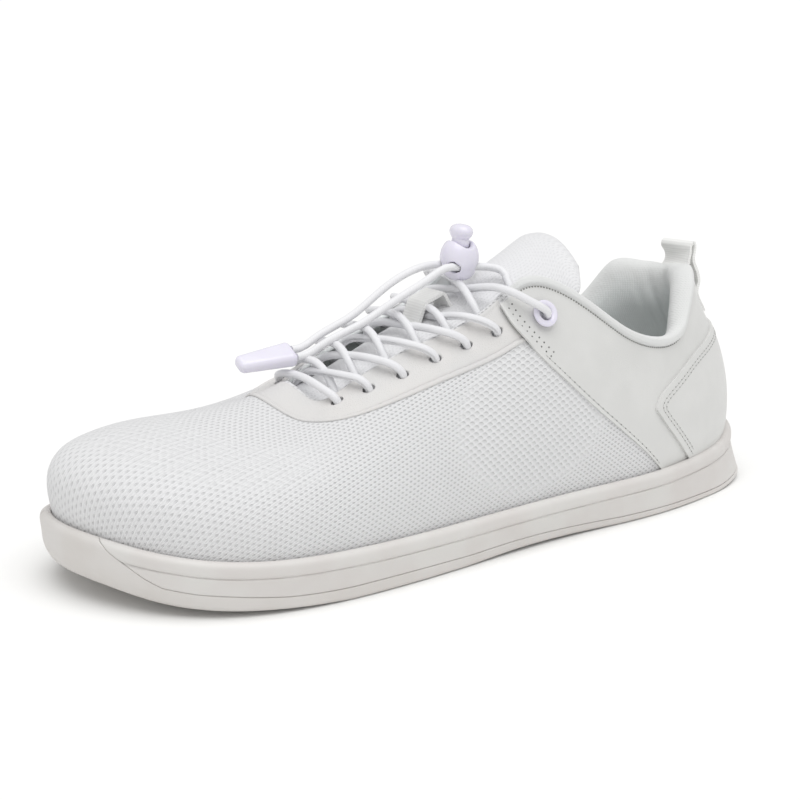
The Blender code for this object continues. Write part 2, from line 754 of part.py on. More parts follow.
def make_eyestay(slot_cutter):
    share = np.linspace(0, 1, 4)[None, :]
    across = np.linspace(0, 1, 45)[:, None]
    end_foot, end_clear = EYESTAY_END
    end = edge_share(QUARTER_FRONT, end_foot + (EYESTAY_TOP - end_foot) * share) - end_clear
    place = end - 2 * end * across
    foot = np.interp(
        np.abs(place), [row.share for row in EYESTAY_FRONT], [row.rise for row in EYESTAY_FRONT]
    )
    rise = foot + (EYESTAY_TOP - foot) * share
    boolean(overlay("eyestay", place, rise, OVERLAY_GAP), slot_cutter, "DIFFERENCE")


def make_eyelets():
    half, barrel, bore = EYELET_FLANGE / 2, EYELET_BARREL / 2, EYELET_BORE / 2
    profile = [
        (bore, -EYELET_DEPTH), (barrel, -EYELET_DEPTH), (barrel, 0.0), (half - 0.2, 0.0), (half, 0.5),
        (half - 0.7, EYELET_BEAD), (bore + 0.5, EYELET_BEAD), (bore, EYELET_BEAD - 0.5),
    ]
    for name, outer in (("eyelet_outer", True), ("eyelet_inner", False)):
        place = side_place(EYELET.share, outer)
        axis = upper_normal(place, EYELET.rise)
        side = unit(np.cross(axis, (0.0, 0.0, 1.0)))
        seat = upper_lift(place, EYELET.rise, EYELET_LIFT)
        matrix = np.column_stack([side, np.cross(axis, side), axis, seat])
        turned(name, profile, 16, "white_plastic", matrix)


tongue_sizes = spline(
    [-row.station for row in TONGUE], [(row.height, row.half, row.hang) for row in TONGUE]
)


def tongue_point(station, across):
    # The tongue's top surface, across from -1 at its inner edge to 1 at its outer edge
    height, half, hang = np.moveaxis(tongue_sizes(-np.asarray(station, float)), -1, 0)
    side = CENTRE + half * across
    return np.stack(np.broadcast_arrays(station, side, height - hang * across**2), axis=-1)


def make_tongue():
    share = np.linspace(0, 1, TONGUE_STEPS)
    ease = 1 - (1 - share) ** TONGUE_CROWD
    first, last = TONGUE[0].station, TONGUE[-1].station
    station = (first + (last - first) * ease)[:, None]
    across = np.linspace(-1, 1, TONGUE_SIDES + 1)[None, :]
    station, across = np.broadcast_arrays(station, across)
    high = tongue_point(station, across)
    thick = TONGUE_THICK * (1 - TONGUE_THINNING * across**4)
    ahead = tongue_point(station + 0.5, across) - tongue_point(station - 0.5, across)
    aside = tongue_point(station, across + 0.02) - tongue_point(station, across - 0.02)
    down = unit(np.cross(aside, ahead))
    down = down * np.sign(-down[..., 2:3])
    slab("tongue", high + down * thick[..., None], high, "white_knit")


def make_tongue_loop():
    stations = np.linspace(*LOOP_STATIONS, LOOP_STEPS)
    share = np.linspace(0, 1, LOOP_STEPS)
    height = tongue_sizes(-stations)[:, 0] + GAP + LOOP_THICK / 2
    height = height + LOOP_ARCH * smooth_step(0, LOOP_LEG, share) * smooth_step(0, LOOP_LEG, 1 - share)
    centres = np.column_stack([stations, np.full(LOOP_STEPS, LOOP_SIDE), height])
    band("tongue_loop", centres, line_ups(centres), LOOP_WIDTH, LOOP_THICK, "white_webbing")


def make_pull_tab():
    # Up the heel from the counter, over, and down to where it is sewn into the top of the collar
    lift = COUNTER_LIFT + GAP + TAB_THICK / 2
    back = [upper_lift(1.0, rise, lift) for rise in TAB_BACK_RISES]
    crown = [(station, CENTRE, height) for station, height in TAB_CROWN]
    path = smooth_path(back + crown, TAB_STEPS)
    path[:, 1] = CENTRE
    skews = TAB_SKEW * smooth_step(*TAB_FREE, path[:, 2])
    band("pull_tab", path, line_ups(path), TAB_WIDTH, TAB_THICK, "white_webbing", skews)


def strand_route(row, cross, dive, outer):
    # From a hole, over its own edge of the throat, across the tongue and down to the far edge
    near = side_place(row.share, outer)
    over = side_place(cross, outer)
    far = side_place(dive, not outer)
    start = upper_lift(near, row.rise, LACE_LIFT)
    edge = upper_lift(over, LACE_EDGE_RISE, LACE_OVER_EDGE)
    far_edge = upper_point(far, 1.0)
    end = far_edge + np.array([0.0, DIVE_INSET * (1 if outer else -1), -DIVE_DROP])
    middle = (edge + end) / 2
    middle[1] = CENTRE
    middle[2] += LACE_ARCH
    return [start, edge, middle, end]


def make_laces():
    bar = [
        upper_lift(SLOTS[0].share, SLOTS[0].rise, LACE_LIFT),
        upper_lift(BAR_CROSS, LACE_EDGE_RISE, LACE_OVER_EDGE),
        np.array(BAR_MIDDLE),
        upper_lift(2 - BAR_CROSS, LACE_EDGE_RISE, LACE_OVER_EDGE),
        upper_lift(2 - SLOTS[0].share, SLOTS[0].rise, LACE_LIFT),
    ]
    tube("lace_bar", smooth_path(bar, LACE_STEPS), LACE_RADIUS, LACE_SIDES, "white_elastic")
    holes = list(SLOTS[1:]) + [HoleRow(EYELET.share, EYELET.rise)]
    crosses = [row.share - CROSS_AHEAD for row in SLOTS[1:]] + [EYELET_CROSS]
    dives = [SLOTS[0].share + FIRST_DIVE_BACK] + [row.share - DIVE_AHEAD for row in SLOTS[1:]]
    for level, (row, cross, dive) in enumerate(zip(holes, crosses, dives), 1):
        strands = []
        for outer in (True, False):
            route = strand_route(row, cross, dive, outer)
            if row.share == EYELET.share:
                route[0] = upper_lift(side_place(row.share, outer), row.rise, LACE_OVER_EYELET)
            strands.append(smooth_path(route, LACE_STEPS))
        name = f"lace_cross_{level}"
        made = tube(name, strands[0], LACE_RADIUS, LACE_SIDES, "white_elastic")
        other = tube(f"{name}_far", strands[1], LACE_RADIUS, LACE_SIDES, None)
        boolean(made, other, "UNION")


def oval_points(half, power, around, up):
    # Points of a rounded block centred on the origin
    turns = np.arange(around) * 2 * math.pi / around
    rows = [np.array([[0.0, 0.0, -1.0]])]
    for tilt in np.linspace(-math.pi / 2, math.pi / 2, up + 1)[1:-1]:
        flat = np.column_stack([np.cos(turns), np.sin(turns)]) * math.cos(tilt)
        rows.append(np.column_stack([flat, np.full(around, math.sin(tilt))]))
    rows.append(np.array([[0.0, 0.0, 1.0]]))
    ways = np.concatenate(rows)
    reach = (np.abs(ways) ** power).sum(axis=1) ** (-1 / power)
    return ways * reach[:, None] * np.asarray(half)


def oval_faces(around, up):
    faces = [(0, 1 + j, 1 + (j + 1) % around) for j in range(around)]
    faces += [tuple(1 + k for k in face) for face in tube_faces(up - 1, around, False)]
    last = 1 + (up - 1) * around
    faces += [(last, last - around + j, last - around + (j + 1) % around) for j in range(around)]
    return faces


def cylinder(name, radius, start, end, sides):
    # A round cutter between two points of the lock's own frame, in metres
    start, end = np.array(start, float), np.array(end, float)
    axis = unit(end - start)
    side = unit(np.cross(axis, (0.31, 0.87, 0.39)))
    other = np.cross(axis, side)
    turns = np.arange(sides) * 2 * math.pi / sides
    oval = radius * (np.outer(np.cos(turns), side) + np.outer(np.sin(turns), other))
    faces = tube_faces(2, sides, False) + [range(sides), range(sides, 2 * sides)]
    return add_object(name, np.concatenate([start + oval, end + oval]) * MM, faces)


def lock_to_shoe(point):
    # From the lock's own frame to stations, sides and heights
    tilt = math.radians(LOCK_TILT)
    x, y, z = point
    turned_x = x * math.cos(tilt) - z * math.sin(tilt)
    turned_z = x * math.sin(tilt) + z * math.cos(tilt)
    return np.array([LOCK_SEAT[0] + turned_x, LOCK_SEAT[1] + y, LOCK_SEAT[2] + turned_z])


def make_cord_lock():
    seat = bpy.data.objects.new("cord_lock_seat", None)
    bpy.context.scene.collection.objects.link(seat)
    seat.location = placed(LOCK_SEAT)[0]
    seat.rotation_euler = (0, -math.radians(LOCK_TILT), 0)
    points = (oval_points(LOCK_HALF, LOCK_POWER, 16, 10) + (0, 0, LOCK_HALF[2])) * MM
    body = add_object("cord_lock", points, oval_faces(16, 10), "white_plastic")
    top = 2 * LOCK_HALF[2] + 2
    cutters = [
        cylinder("lock_notch", LOCK_NOTCH, (0, -10, LOCK_NOTCH_HEIGHT), (0, 10, LOCK_NOTCH_HEIGHT), 20),
        cylinder("lock_bore", LOCK_BORE / 2, (0, 0, LOCK_BORE_FLOOR), (0, 0, top), 18),
    ]
    for name, side in (("lock_hole_outer", CORD_HOLE_SIDE), ("lock_hole_inner", -CORD_HOLE_SIDE)):
        start, end = (-10, side, CORD_HOLE_HEIGHT), (10, side, CORD_HOLE_HEIGHT)
        cutters.append(cylinder(name, CORD_HOLE / 2, start, end, 14))
    for cutter in cutters:
        cutter.parent = seat
        boolean(body, cutter, "DIFFERENCE")
    body.parent = seat
    make_button(seat)


def make_button(seat):
    # A round stem in the lock's bore under an oval domed cap
    stem = BUTTON_STEM / 2
    rows = [(stem, stem, BUTTON_STEM_FOOT), (stem, stem, BUTTON_NECK)]
    rows += [(row.along * BUTTON_HALF[0], row.across * BUTTON_HALF[1], row.height) for row in BUTTON_CAP]
    turns = np.arange(BUTTON_SIDES) * 2 * math.pi / BUTTON_SIDES
    rings = [
        np.column_stack([x * np.cos(turns), y * np.sin(turns), np.full(BUTTON_SIDES, height)])
        for x, y, height in rows
    ]
    last = BUTTON_SIDES * (len(rows) - 1)
    faces = tube_faces(len(rows), BUTTON_SIDES, False)
    faces += [range(BUTTON_SIDES), range(last, last + BUTTON_SIDES)]
    button = add_object("cord_lock_button", np.concatenate(rings) * MM, faces, "white_plastic")
    button.parent = seat


def clamp_frame():
    back, tip = np.array(CLAMP_BACK), np.array(CLAMP_TIP)
    along = unit(tip - back)
    level = unit(np.cross((0.0, 0.0, 1.0), along))
    roll = math.radians(CLAMP_ROLL)
    side = level * math.cos(roll) - np.cross(along, level) * math.sin(roll)
    return back, tip, along, side, np.cross(along, side)


def make_cord_end():
    # A flat clamp, wide where the two lace tips go in and narrow at its end
    back, tip, along, side, up = clamp_frame()
    corners = []
    for centre, wide, thick in ((back, CLAMP_WIDE[0], CLAMP_THICK[0]), (tip, CLAMP_WIDE[1], CLAMP_THICK[1])):
        for across, rise in ((-1, -1), (1, -1), (1, 1), (-1, 1)):
            corners.append(centre + side * across * wide / 2 + up * rise * thick / 2)
    faces = tube_faces(2, 4, False) + [range(4), range(4, 8)]
    made = add_object("cord_end", placed(corners), faces, "white_plastic")
    rounding = made.modifiers.new("rounding", "BEVEL")
    rounding.width = CLAMP_ROUND * MM
    rounding.segments = 3
    rounding.limit_method = "NONE"


def make_lace_ends():
    back, tip, along, side, up = clamp_frame()
    for name, way in (("lace_end_outer", 1), ("lace_end_inner", -1)):
        route = [(station, CENTRE + way * (across - CENTRE), height) for station, across, height in END_ROUTE]
        for reach in LOCK_REACHES:
            route.append(lock_to_shoe((reach, way * CORD_HOLE_SIDE, CORD_HOLE_HEIGHT)))
        spread = np.linspace(CORD_HOLE_SIDE, TAIL_SPACE / 2, len(TAIL_ROUTE) + 2)[1:-1]
        for row, apart in zip(TAIL_ROUTE, spread):
            height = row.outer_height if way > 0 else row.inner_height
            route.append((row.station, row.side + way * apart, height))
        for reach in CLAMP_REACHES:
            route.append(back - along * reach + side * way * TAIL_SPACE / 2)
        length = np.linalg.norm(np.diff(np.array(route, float), axis=0), axis=1).sum()
        points = placed(smooth_path(route, round(length / CORD_POINT_SPACE)))
        line = bpy.data.curves.new(name, "CURVE")
        line.dimensions = "3D"
        line.bevel_depth = LACE_RADIUS * MM
        line.bevel_resolution = 2
        line.use_fill_caps = True
        route_line = line.splines.new("POLY")
        route_line.points.add(len(points) - 1)
        for place, point in zip(route_line.points, points):
            place.co = (*point, 1)
        line.materials.append(material("white_elastic"))
        made = bpy.data.objects.new(name, line)
        bpy.context.scene.collection.objects.link(made)


for old in list(bpy.data.objects):
    bpy.data.objects.remove(old, do_unlink=True)

make_outsole()
make_midsole()
make_insole()
slot_cutter, eyelet_cutter = make_upper()
make_quarter(eyelet_cutter)
make_heel_counter()
make_eyestay(slot_cutter)
make_eyelets()
make_tongue()
make_tongue_loop()
make_pull_tab()
make_laces()
make_cord_lock()
make_cord_end()
make_lace_ends()
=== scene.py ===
import math

import bmesh
import bpy
import numpy as np
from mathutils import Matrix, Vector


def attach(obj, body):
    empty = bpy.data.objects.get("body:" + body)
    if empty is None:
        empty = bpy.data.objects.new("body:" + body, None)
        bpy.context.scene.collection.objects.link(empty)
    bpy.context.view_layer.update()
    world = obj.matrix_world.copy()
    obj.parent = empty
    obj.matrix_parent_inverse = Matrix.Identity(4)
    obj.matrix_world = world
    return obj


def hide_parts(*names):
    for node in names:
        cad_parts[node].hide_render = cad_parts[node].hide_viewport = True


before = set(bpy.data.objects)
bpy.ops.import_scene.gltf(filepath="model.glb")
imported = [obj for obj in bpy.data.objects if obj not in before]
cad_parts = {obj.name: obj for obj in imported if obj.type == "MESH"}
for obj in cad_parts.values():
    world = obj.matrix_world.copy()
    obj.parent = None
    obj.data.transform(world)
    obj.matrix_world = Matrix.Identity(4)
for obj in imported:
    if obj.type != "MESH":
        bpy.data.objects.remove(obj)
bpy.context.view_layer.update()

# A left training shoe in white: a rubber cup sole, a knit upper with smooth overlays, and one elastic
# lace drawn through a cord lock.
# Shapes are worked out in millimetres as station (forwards from the heel), side (towards the outer side
# of the foot) and height. A place round the shoe runs from 0 at the toe over the outer side to 1 at the
# heel and on to 2. A rise runs from 0 at the sole to 1 at the upper's top edge.
mm = 0.001
middle = (141.5565, -0.5063)
centre = 1.0


def unit(vectors):
    return vectors / np.linalg.norm(vectors, axis=-1, keepdims=True)


def smoothStep(low, high, at):
    share = np.clip((np.asarray(at, float) - low) / (high - low), 0, 1)
    return share * share * (3 - 2 * share)


def spline(knots, rows, period=None):
    # A smooth curve through rows at rising knots, closed on itself where a period is given
    knots, rows = np.asarray(knots, float), np.asarray(rows, float)
    count = len(knots)
    ends = np.append(knots, knots[0] + period) if period else knots
    steps = np.diff(ends)
    matrix, right = np.eye(count), np.zeros_like(rows)
    for i in range(count):
        if not period and i in (0, count - 1):
            continue
        before, after = steps[i - 1], steps[i % len(steps)]
        matrix[i, i] = 2 * (before + after)
        matrix[i, i - 1] += before
        matrix[i, (i + 1) % count] += after
        right[i] = 6 * ((rows[(i + 1) % count] - rows[i]) / after - (rows[i] - rows[i - 1]) / before)
    bends = np.linalg.solve(matrix, right)

    def value(at):
        at = np.asarray(at, float)
        if period:
            at = (at - knots[0]) % period + knots[0]
        i = np.clip(np.searchsorted(knots, at, side="right") - 1, 0, len(steps) - 1)
        j = (i + 1) % count
        step, back, on = steps[i][..., None], (ends[i + 1] - at)[..., None], (at - ends[i])[..., None]
        curve = (bends[i] * back**3 + bends[j] * on**3) / (6 * step)
        line = rows[i] * back / step + rows[j] * on / step
        return curve + line - step / 6 * (bends[i] * back + bends[j] * on)

    return value


def walked(points):
    # Distance along a line of points
    return np.append(0, np.cumsum(np.linalg.norm(np.diff(points, axis=0), axis=1)))


def smoothPath(points, count):
    points = np.asarray(points, float)
    knots = walked(points)
    return spline(knots, points)(np.linspace(0, knots[-1], count))


def evenPath(points, space):
    # A smooth line through points, with its own points evenly spaced
    fine = smoothPath(points, 60 * len(points))
    length = walked(fine)
    at = np.linspace(0, length[-1], max(3, round(length[-1] / space) + 1))
    return np.stack([np.interp(at, length, fine[:, k]) for k in range(3)], axis=1)


def bothSides(rows, outer, inner):
    return [outer(row) for row in rows] + [inner(row) for row in reversed(rows[1:-1])]


# Sole rows: station, outer, inner, flare, ground, rim, layer
soleRows = (
    (283.5, -7, 7, -4, 7.4, 24.4, 9.4), (279.5, 12, 26, -4, 6.4, 23.6, 9),
    (269, 31, 40, -3.4, 3.8, 21.3, 8.2), (254, 44, 48.5, -2.6, 2.2, 19.2, 6.2),
    (235, 51, 53, -2, 1.2, 17.8, 4.6), (205, 53, 53.5, -1.5, -0.1, 16.8, 4.6),
    (170, 50.5, 47, -1.6, -0.4, 16.3, 4.4), (135, 47, 38.5, -2.4, 0.8, 16.4, 3.8),
    (100, 44.5, 34.5, -2.4, 0.4, 16.4, 3.2), (65, 42, 34.5, -1, -0.4, 16.4, 2.6),
    (38, 35.5, 31.5, 0.5, -0.3, 17, 2.2), (18, 26.5, 24, 2.5, 0.8, 18.6, 2),
    (7, 15.5, 13.5, 4, 2.4, 21.4, 2), (3.5, 1.5, -1.5, 4.5, 3, 22.8, 2),
)
# Upper rows: share, station, half, height, foot lean, foot pull, top tilt, top pull, edge, inner lift
upperRows = (
    (0, 200, 0, 61, 13, 32, 20, 52, 2, 0), (0.15, 198, 7.5, 57.8, 12, 30, 21, 45, 2, 0),
    (0.27, 193, 13, 56.8, 9, 26, 23, 32, 2, 0), (0.38, 178, 15.5, 64.5, 6, 25, 30, 24, 2, 0),
    (0.47, 155, 18, 72.5, 5, 25, 38, 24, 2, 0), (0.555, 131, 20, 81, 4, 26, 48, 25, 2.2, 0),
    (0.62, 112, 21.5, 89.5, 4, 28, 62, 25, 2.8, 0), (0.68, 92, 28, 79.5, 4, 24, 75, 20, 3.4, 0),
    (0.74, 75, 30.5, 67.5, 4, 20, 82, 16, 4, 0), (0.8, 57, 29.5, 62, 7, 18, 88, 14, 4.6, 0),
    (0.85, 45.5, 26.8, 65, 10, 19, 86, 16, 5, 3.5), (0.9, 38, 20, 74.5, 11, 22, 72, 22, 5, 5),
    (0.95, 30.5, 11, 81, 11, 25, 60, 24, 5, -1.5), (1, 25, 0, 80.8, 11, 26, 58, 24, 5, 0),
)
rimDrop = 5.4
upperInset = 3.8
upperSunk = 1.0
cupInside = {"floor": 8, "climb": 7, "flatTo": 190, "toe": 283.5, "gap": 0.3}

soleCorners = np.array(bothSides(soleRows, lambda r: (r[0], r[1]), lambda r: (r[0], -r[2])))
soleKnots = walked(np.concatenate([soleCorners, soleCorners[:1]]))
soleEdge = spline(soleKnots[:-1], soleCorners, soleKnots[-1])
soleWalk = np.linspace(0, soleKnots[-1], 2001)
soleLengths = walked(soleEdge(soleWalk))
heelLength = np.interp(soleKnots[len(soleRows) - 1], soleWalk, soleLengths)
outerShares = soleLengths / heelLength
innerShares = 1 + (soleLengths - heelLength) / (soleLengths[-1] - heelLength)
soleShares = np.where(soleLengths <= heelLength, outerShares, innerShares)
soleKnotShares = np.interp(soleKnots[:-1], soleWalk, soleShares)
soleHeights = spline(soleKnotShares, bothSides(soleRows, lambda r: r[3:], lambda r: r[3:]), 2.0)
upperKnots = bothSides(upperRows, lambda r: r[0], lambda r: 2 - r[0])
upperSides = bothSides(upperRows, lambda r: r[1:9], lambda r: (r[1], -r[2], r[3] + r[9]) + r[4:9])
upperSizes = spline(upperKnots, upperSides, 2.0)


def outline(place, inset):
    at = np.interp(np.asarray(place, float) % 2.0, soleShares, soleWalk)
    ahead = unit(soleEdge(at + 0.05) - soleEdge(at - 0.05))
    out = np.stack([ahead[..., 1], -ahead[..., 0]], axis=-1)
    return soleEdge(at) - out * np.broadcast_to(inset, at.shape)[..., None]


def ring(place, inset, height):
    level = np.broadcast_to(height, np.shape(place))[..., None]
    return np.concatenate([outline(place, inset), level], axis=-1)


def soleSizes(place):
    flare, ground, rim, layer = np.moveaxis(soleHeights(place), -1, 0)
    return flare, np.maximum(ground, 0), rim, layer


def cupFloor(place):
    # The cup's floor is flat to the ball of the foot and climbs towards the toe
    ahead = outline(place, upperInset)[..., 0] - cupInside["flatTo"]
    share = np.clip(ahead / (cupInside["toe"] - cupInside["flatTo"]), 0, 1)
    return cupInside["floor"] + cupInside["climb"] * share**2


def wallInset(place, height):
    flare, ground, rim, layer = soleSizes(place)
    return -flare * (1 - np.clip((height - ground) / (rim - rimDrop - ground), 0, 1))


def upperPoint(place, rise):
    # The upper's outer face: each rib leaves the sole upright and bends over to the top edge
    place, rise = np.broadcast_arrays(np.asarray(place, float), np.asarray(rise, float))
    foot = ring(place, upperInset, soleSizes(place)[2] - upperSunk)
    size = upperSizes(place)
    top = np.stack([size[..., 0], centre + size[..., 1], size[..., 2]], axis=-1)
    lean, tilt = np.radians(size[..., 3]), np.radians(size[..., 5])
    inward = unit(top[..., :2] - foot[..., :2])
    footWay = np.concatenate([-np.sin(lean)[..., None] * inward, np.cos(lean)[..., None]], axis=-1)
    topWay = np.concatenate([np.cos(tilt)[..., None] * inward, np.sin(tilt)[..., None]], axis=-1)
    start, end = foot + size[..., 4, None] * footWay, top - size[..., 6, None] * topWay
    on = rise[..., None]
    back = 1 - on
    return back**3 * foot + 3 * back**2 * on * start + 3 * back * on**2 * end + on**3 * top


def upperWays(place, rise):
    # How the outer face runs per unit of place and of rise
    place, rise = np.broadcast_arrays(np.asarray(place, float), np.asarray(rise, float))
    step = 0.002
    low, high = np.clip(rise - step, 0, 1), np.clip(rise + step, 0, 1)
    along = (upperPoint(place + step, rise) - upperPoint(place - step, rise)) / (2 * step)
    up = (upperPoint(place, high) - upperPoint(place, low)) / (high - low)[..., None]
    return along, up


def upperNormal(place, rise):
    return unit(np.cross(*upperWays(place, rise)))


def upperLift(place, rise, lift):
    return upperPoint(place, rise) + upperNormal(place, rise) * np.asarray(lift, float)[..., None]


def upperEdge(place):
    return upperSizes(np.asarray(place, float))[..., 7]


def riseAt(place, height):
    rises = np.linspace(0, 1, 81)
    flat = [
        np.interp(level, upperPoint(np.full(81, at), rises)[:, 2], rises)
        for at, level in zip(np.ravel(place), np.ravel(height))
    ]
    return np.reshape(flat, np.shape(place))


def shifted(place, rise, move):
    # The place and rise reached by a move along the outer face
    along, up = upperWays(place, rise)
    square = np.stack([np.stack([(along * along).sum(-1), (along * up).sum(-1)], -1),
                       np.stack([(along * up).sum(-1), (up * up).sum(-1)], -1)], -2)
    turn = np.stack([(along * move).sum(-1), (up * move).sum(-1)], -1)
    step = np.linalg.solve(square, turn[..., None])[..., 0]
    return place + step[..., 0], np.clip(rise + step[..., 1], 0, 1)


def besideLine(place, rise, away):
    # A line on the outer face, kept beside another at a distance
    points = upperPoint(place, rise)
    along = unit(np.gradient(points, axis=0))
    return shifted(place, rise, np.cross(upperNormal(place, rise), along) * away)


def placed(points):
    points = np.asarray(points, float).reshape(-1, 3)
    return (points - (middle[0], middle[1], 0)) * mm


def gridFaces(rows, columns, closeRows=False, closeColumns=False, first=0):
    rowCount = rows if closeRows else rows - 1
    columnCount = columns if closeColumns else columns - 1
    i, j = [part.ravel() for part in np.meshgrid(np.arange(rowCount), np.arange(columnCount), indexing="ij")]
    row, nextRow, nextColumn = i * columns, (i + 1) % rows * columns, (j + 1) % columns
    corners = np.stack([row + j, row + nextColumn, nextRow + nextColumn, nextRow + j], 1)
    return (first + corners).tolist()


def tubeFaces(rows, columns, first=0):
    # A grid closed round its columns, with both ends filled
    last = first + (rows - 1) * columns
    ends = [list(range(start, start + columns)) for start in (first, last)]
    return gridFaces(rows, columns, closeColumns=True, first=first) + ends


def rungFaces(first, count):
    # Fills a ring across the shoe
    faces = []
    for i in range(count // 2):
        rung = [first + i, first + i + 1, first + (count - i - 1) % count, first + (count - i) % count]
        faces.append(list(dict.fromkeys(rung)))
    return faces


def addPiece(name, points, faces, *finishes, body="shoe", sharp=50, closed=True):
    mesh = bpy.data.meshes.new(name)
    mesh.from_pydata(placed(points).tolist(), [], faces)
    if closed:
        shape = bmesh.new()
        shape.from_mesh(mesh)
        bmesh.ops.recalc_face_normals(shape, faces=shape.faces)
        shape.to_mesh(mesh)
        shape.free()
    for finish in finishes:
        mesh.materials.append(finish)
    mesh.shade_smooth()
    mesh.set_sharp_from_angle(angle=math.radians(sharp))
    made = bpy.data.objects.new(name, mesh)
    bpy.context.scene.collection.objects.link(made)
    if body:
        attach(made, body)
    return made


def deselectAll():
    bpy.ops.object.select_all(action="DESELECT")


def onlyActive(thing):
    deselectAll()
    thing.select_set(True)
    bpy.context.view_layer.objects.active = thing


def applyAll(thing):
    onlyActive(thing)
    for name in [item.name for item in thing.modifiers]:
        bpy.ops.object.modifier_apply(modifier=name)


def addModifier(thing, kind, **settings):
    made = thing.modifiers.new(kind.lower(), kind)
    for key, value in settings.items():
        setattr(made, key, value)


def cutAway(thing, cutter):
    addModifier(thing, "BOOLEAN", operation="DIFFERENCE", solver="EXACT", object=cutter)
    applyAll(thing)


def dropCutter(cutter):
    bpy.data.objects.remove(cutter, do_unlink=True)


def pointNumbers(thing, name, values):
    # A number at each point of a piece, which its finish reads
    layer = thing.data.attributes.new(name, "FLOAT", "POINT")
    layer.data.foreach_set("value", np.asarray(values, np.float32).ravel())


# Camera
view = {"lens": 95, "sensor": 36, "spot": (0.4318, 0.5795, 0.2285), "aim": (0.01107, 0.00051, 0.0474)}
cameraData = bpy.data.cameras.new("camera")
cameraData.lens = view["lens"]
cameraData.sensor_width = view["sensor"]
cameraData.clip_start, cameraData.clip_end = 0.01, 20
camera = bpy.data.objects.new("camera", cameraData)
bpy.context.scene.collection.objects.link(camera)
camera.location = view["spot"]
camera.rotation_euler = (Vector(view["aim"]) - camera.location).to_track_quat("-Z", "Y").to_euler()
bpy.context.scene.camera = camera
print("camera set")


# Finishes
def linear(colour):
    parts = [int(colour[k:k + 2], 16) / 255 for k in (1, 3, 5)]
    return tuple(c / 12.92 if c <= 0.04045 else ((c + 0.055) / 1.055) ** 2.4 for c in parts) + (1.0,)


def addNode(tree, kind, settings, inputs):
    made = tree.nodes.new("ShaderNode" + kind)
    for key, value in settings.items():
        setattr(made, key, value)
    for key, value in inputs.items():
        if isinstance(value, bpy.types.NodeSocket):
            tree.links.new(value, made.inputs[key])
        else:
            made.inputs[key].default_value = value
    return made


# Each kind: the node's name, its settings, its fixed inputs, the inputs a call fills in turn, its output
nodeKinds = {
    "Mix": ("Mix", {"data_type": "RGBA"}, {}, (0, 6, 7), 2),
    "Ease": ("MapRange", {"interpolation_type": "SMOOTHSTEP"}, {}, ("From Min", "From Max", "Value"), 0),
    "Noise": ("TexNoise", {}, {"Roughness": 0.55}, ("Vector", "Scale", "Detail"), 0),
    "Bump": ("Bump", {}, {"Strength": 1.0}, ("Height", "Distance", "Normal"), 0),
}


def worked(tree, kind, *values):
    # What a node of a kind gives for its values. Any kind not listed is a sum
    row = nodeKinds.get(kind, ("Math", {"operation": kind}, {}, (0, 1, 2), 0))
    name, settings, fixed, sockets, output = row
    return addNode(tree, name, settings, {**fixed, **dict(zip(sockets, values))}).outputs[output]


def perMm(size):
    # The scale of a pattern from the size of its blobs in millimetres
    return 1 / (size * mm)


def waves(tree, along, pitch, phase=0.0):
    # Rounded ribs across a distance in millimetres, from 0 to 1
    turn = worked(tree, "MULTIPLY_ADD", along, 2 * math.pi / pitch, phase)
    return worked(tree, "MULTIPLY_ADD", worked(tree, "SINE", turn), 0.5, 0.5)


def startFinish(name):
    made = bpy.data.materials.new(name)
    made.use_nodes = True
    tree = made.node_tree
    where = addNode(tree, "TexCoord", {}, {}).outputs["Object"]
    return made, tree, tree.nodes["Principled BSDF"], where


def setShader(tree, shader, **inputs):
    for key, value in inputs.items():
        socket = shader.inputs[key.replace("_", " ")]
        if isinstance(value, bpy.types.NodeSocket):
            tree.links.new(value, socket)
        else:
            socket.default_value = value


def flatPlace(tree):
    # Millimetres along and across the cloth
    flat = addNode(tree, "UVMap", {"uv_map": "cloth"}, {}).outputs[0]
    parts = addNode(tree, "SeparateXYZ", {}, {0: flat}).outputs
    return parts[0], parts[1]


def cellPlace(tree, along, across, long, wide, lean):
    # Place within a leaning cell of the knit, from -0.5 to 0.5 both ways
    row = worked(tree, "DIVIDE", across, wide)
    column = worked(tree, "MULTIPLY_ADD", row, lean, worked(tree, "DIVIDE", along, long))
    return (worked(tree, "SUBTRACT", worked(tree, "FRACT", column), 0.5),
            worked(tree, "SUBTRACT", worked(tree, "FRACT", row), 0.5))


def ovalMask(tree, x, y, tilt, long, wide, soft):
    # 1 inside a tilted oval of a cell, 0 outside
    cosine, sine = math.cos(tilt), math.sin(tilt)
    a = worked(tree, "MULTIPLY_ADD", x, cosine / long, worked(tree, "MULTIPLY", y, sine / long))
    b = worked(tree, "MULTIPLY_ADD", x, -sine / wide, worked(tree, "MULTIPLY", y, cosine / wide))
    far = worked(tree, "SQRT", worked(tree, "MULTIPLY_ADD", a, a, worked(tree, "MULTIPLY", b, b)))
    return worked(tree, "Ease", 1 + soft, 1 - soft, far)


